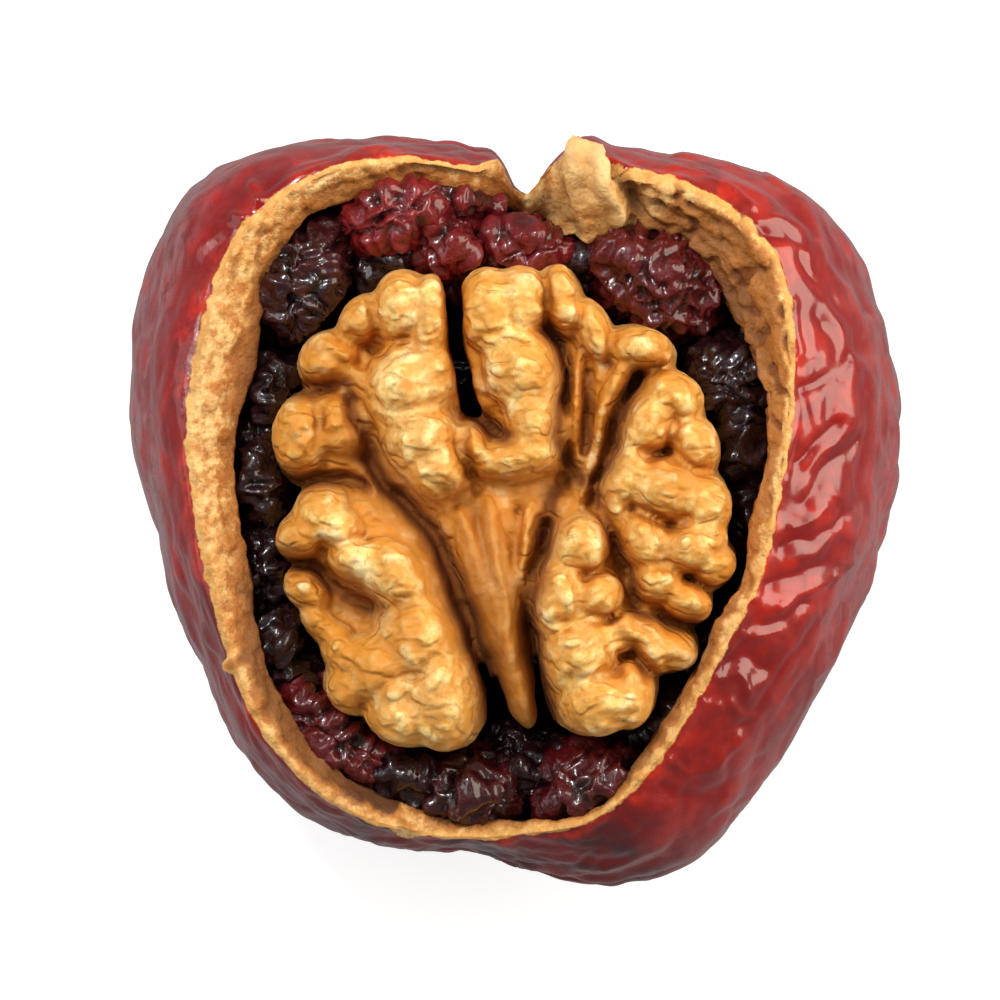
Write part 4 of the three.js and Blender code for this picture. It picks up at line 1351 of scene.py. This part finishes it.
def kernel_material():
    """Golden skin: painted highlights on crests and painted pools of light, painted shade down the
    sides, in hollows and on the bank, grooves browner partly from painted shade, and the web browner.
    """
    made = material("walnut_pellicle")
    tree = made.node_tree
    height = attribute(tree, "height")
    drop = attribute(tree, "drop")
    web = attribute(tree, "web")
    broad = noise(tree, 3.4, 3, 0.5, 31.0)
    speck = noise(tree, 0.7, 4, 0.6, 32.0)
    grain = noise(tree, 0.28, 3, 0.6, 35.0)
    off_middle = number(tree, "SUBTRACT", noise(tree, 1.7, 1.5, 0.4, 36.0, (0.7, 1.2, 1.0)), 0.5)
    line = ranged(tree, number(tree, "ABSOLUTE", off_middle), 0.11, 0.0)
    vein = times(tree, line, ranged(tree, web, 0.0, 0.6, 1.0, 0.0))
    gold = mixed(tree, ranged(tree, broad, 0.3, 0.7), rgb(246, 202, 112), rgb(250, 222, 146))
    gold = layered(
        tree,
        gold,
        [
            (upto(tree, speck, 0.44, 0.6, 0.6), (232, 166, 66)),
            # Painted pools of light
            (upto(tree, attribute(tree, "light"), 0.0, 1.0, 0.45), (255, 238, 166)),
            # Painted shade down the sides, in low places and in the shaded spots
            (upto(tree, attribute(tree, "side"), 0.0, 1.0, 0.75), (204, 128, 34)),
            # Painted highlights on the crests, then painted shade in the hollows between bumps
            (upto(tree, height, -0.1, 0.2, 0.8), (255, 240, 182)),
            (upto(tree, height, 0.0, -0.2, 0.7), (214, 138, 44)),
            (upto(tree, grain, 0.5, 0.68, 0.5), (206, 130, 40)),
            # Grooves, wide and narrow, browner: partly the skin's own colour and partly painted shade
            (upto(tree, attribute(tree, "wide_groove"), 0.3, 1.1, 0.8), (204, 122, 30)),
            (upto(tree, attribute(tree, "groove"), 0.5, 1.2, 0.8), (140, 76, 24)),
            # The web browner, and painted shade along the bank
            (times(tree, web, ranged(tree, speck, 0.3, 0.65, 0.95, 0.55)), (188, 116, 38)),
            # Deep grooves: partly browner skin and partly painted shade
            (upto(tree, drop, 0.2, 1.8, 0.92), (118, 62, 20)),
            (times(tree, vein, 0.3), (200, 126, 44)),
        ],
    )
    smooth = number(tree, "SUBTRACT", 1.0, vein)
    uneven = noise(tree, 0.9, 3, 0.5, 34.0)
    fine = noise(tree, 0.35, 4, 0.6, 33.0)
    gloss = ranged(tree, speck, 0.3, 0.7, 0.44, 0.58)
    looks = {
        "Base Color": gold,
        "Roughness": number(tree, "MAXIMUM", gloss, upto(tree, drop, 0.3, 1.2, 0.85)),
        "Normal": bumped(tree, [(smooth, 0.12), (uneven, 0.1), (fine, 0.03)]),
        "Specular IOR Level": 0.3,
    }
    return finish_material(made, principled(tree, looks))


def raisin_material(name, deep, bright, patch):
    """Dark wrinkled skin, from deep to bright by the raisin's tone, with painted shade making it
    darkest in its valleys.
    """
    made = material(name)
    tree = made.node_tree
    patches = ranged(tree, noise(tree, 1.6, 3, 0.6, 41.0), 0.4, 0.65)
    colour = layered(
        tree,
        mixed(tree, attribute(tree, "tone"), rgb(*deep), rgb(*bright)),
        [
            (times(tree, patches, 0.6), patch),
            # Painted shade in the valleys
            (times(tree, attribute(tree, "valley"), 0.92), (12, 4, 7)),
        ],
    )
    wrinkle = noise(tree, 0.7, 4, 0.6, 42.0)
    fine = noise(tree, 0.25, 3, 0.55, 43.0)
    looks = {
        "Base Color": colour,
        "Roughness": ranged(tree, noise(tree, 0.9, 3, 0.5, 44.0), 0.35, 0.65, 0.2, 0.36),
        "Normal": bumped(tree, [(wrinkle, 0.25), (fine, 0.05)]),
        "Specular IOR Level": 0.2,
        "Coat Weight": 0.85,
        "Coat Roughness": 0.05,
    }
    return finish_material(made, principled(tree, looks))


# The studio


def area_light(name, place, size, power, colour):
    """A soft rectangular light that faces LIGHT_TARGET."""
    data = bpy.data.lights.new(name, "AREA")
    data.shape = "RECTANGLE"
    data.size = size[0] * MM
    data.size_y = size[1] * MM
    data.energy = power
    data.color = colour
    light = bpy.data.objects.new(name, data)
    bpy.context.scene.collection.objects.link(light)
    light.location = [value * MM for value in place]
    aim = (np.array(place, float) - np.array(LIGHT_TARGET, float)) * MM
    light.rotation_euler = Vector(aim).to_track_quat("Z", "Y").to_euler()


def make_floor():
    half = FLOOR_HALF * MM
    floor = bpy.data.meshes.new("floor")
    corners = [(-half, -half, 0), (half, -half, 0), (half, half, 0), (-half, half, 0)]
    floor.from_pydata(corners, [], [(0, 1, 2, 3)])
    stage = bpy.data.objects.new("floor", floor)
    stage.visible_glossy = False
    bpy.context.scene.collection.objects.link(stage)
    pale = material("pale_floor")
    looks = {
        "Base Color": (0.4, 0.4, 0.4, 1),
        "Roughness": 0.9,
        "Emission Color": (1, 1, 1, 1),
        "Emission Strength": 0.8,
    }
    finish_material(pale, principled(pale.node_tree, looks))
    floor.materials.append(pale)


def make_studio():
    scene = bpy.context.scene
    scene.view_settings.view_transform = "Standard"
    scene.world = bpy.data.worlds.new("studio")
    scene.world.use_nodes = True
    sky = scene.world.node_tree.nodes["Background"].inputs
    sky["Color"].default_value = (1, 1, 1, 1)
    sky["Strength"].default_value = SKY_STRENGTH
    for name, light in LIGHTS.items():
        area_light(name, *light)
    make_floor()


def make_camera():
    """A camera high above the fruit, looking straight down."""
    data = bpy.data.cameras.new("camera")
    data.sensor_fit = "HORIZONTAL"
    data.sensor_width = SENSOR_WIDTH
    data.lens = SENSOR_WIDTH * (CAMERA_HEIGHT - SCALE_HEIGHT) / (FRAME_PIXELS * PIXEL)
    data.clip_end = 10
    camera = bpy.data.objects.new("camera", data)
    bpy.context.scene.collection.objects.link(camera)
    x = (FRAME_PIXELS / 2 - FRAME_MIDDLE[0]) * PIXEL + SHIFT[0]
    y = (FRAME_MIDDLE[1] - FRAME_PIXELS / 2) * PIXEL + SHIFT[1]
    camera.location = (x * MM, y * MM, CAMERA_HEIGHT * MM)
    bpy.context.scene.camera = camera


def dress(piece, surface, nodes):
    piece.data.materials.append(surface)
    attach(piece, "root")
    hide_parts(*nodes)


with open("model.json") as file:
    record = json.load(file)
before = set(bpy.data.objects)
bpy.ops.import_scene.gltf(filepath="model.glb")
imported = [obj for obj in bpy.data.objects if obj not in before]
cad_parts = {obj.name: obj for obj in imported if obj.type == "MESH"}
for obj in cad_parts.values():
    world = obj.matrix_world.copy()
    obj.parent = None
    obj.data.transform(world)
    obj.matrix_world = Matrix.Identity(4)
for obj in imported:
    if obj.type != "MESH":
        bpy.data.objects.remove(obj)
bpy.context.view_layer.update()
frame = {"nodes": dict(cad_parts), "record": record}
make_camera()
make_studio()

dress(make_fruit(), fruit_material(), ["jujube"])
dress(make_kernel(), kernel_material(), ["walnut_kernel"])

skins = {name: raisin_material(name, *colours) for name, colours in RAISIN_COLOURS.items()}
slots = {part["node"]: part["material_slot"] for part in frame["record"]["subparts"]}
raisin_names = sorted(name for name in frame["nodes"] if name.startswith("raisin_"))
for count, name in enumerate(raisin_names, start=1):
    slot = slots[name]
    dress(make_raisin(frame["nodes"][name], count), skins[slot], [name])
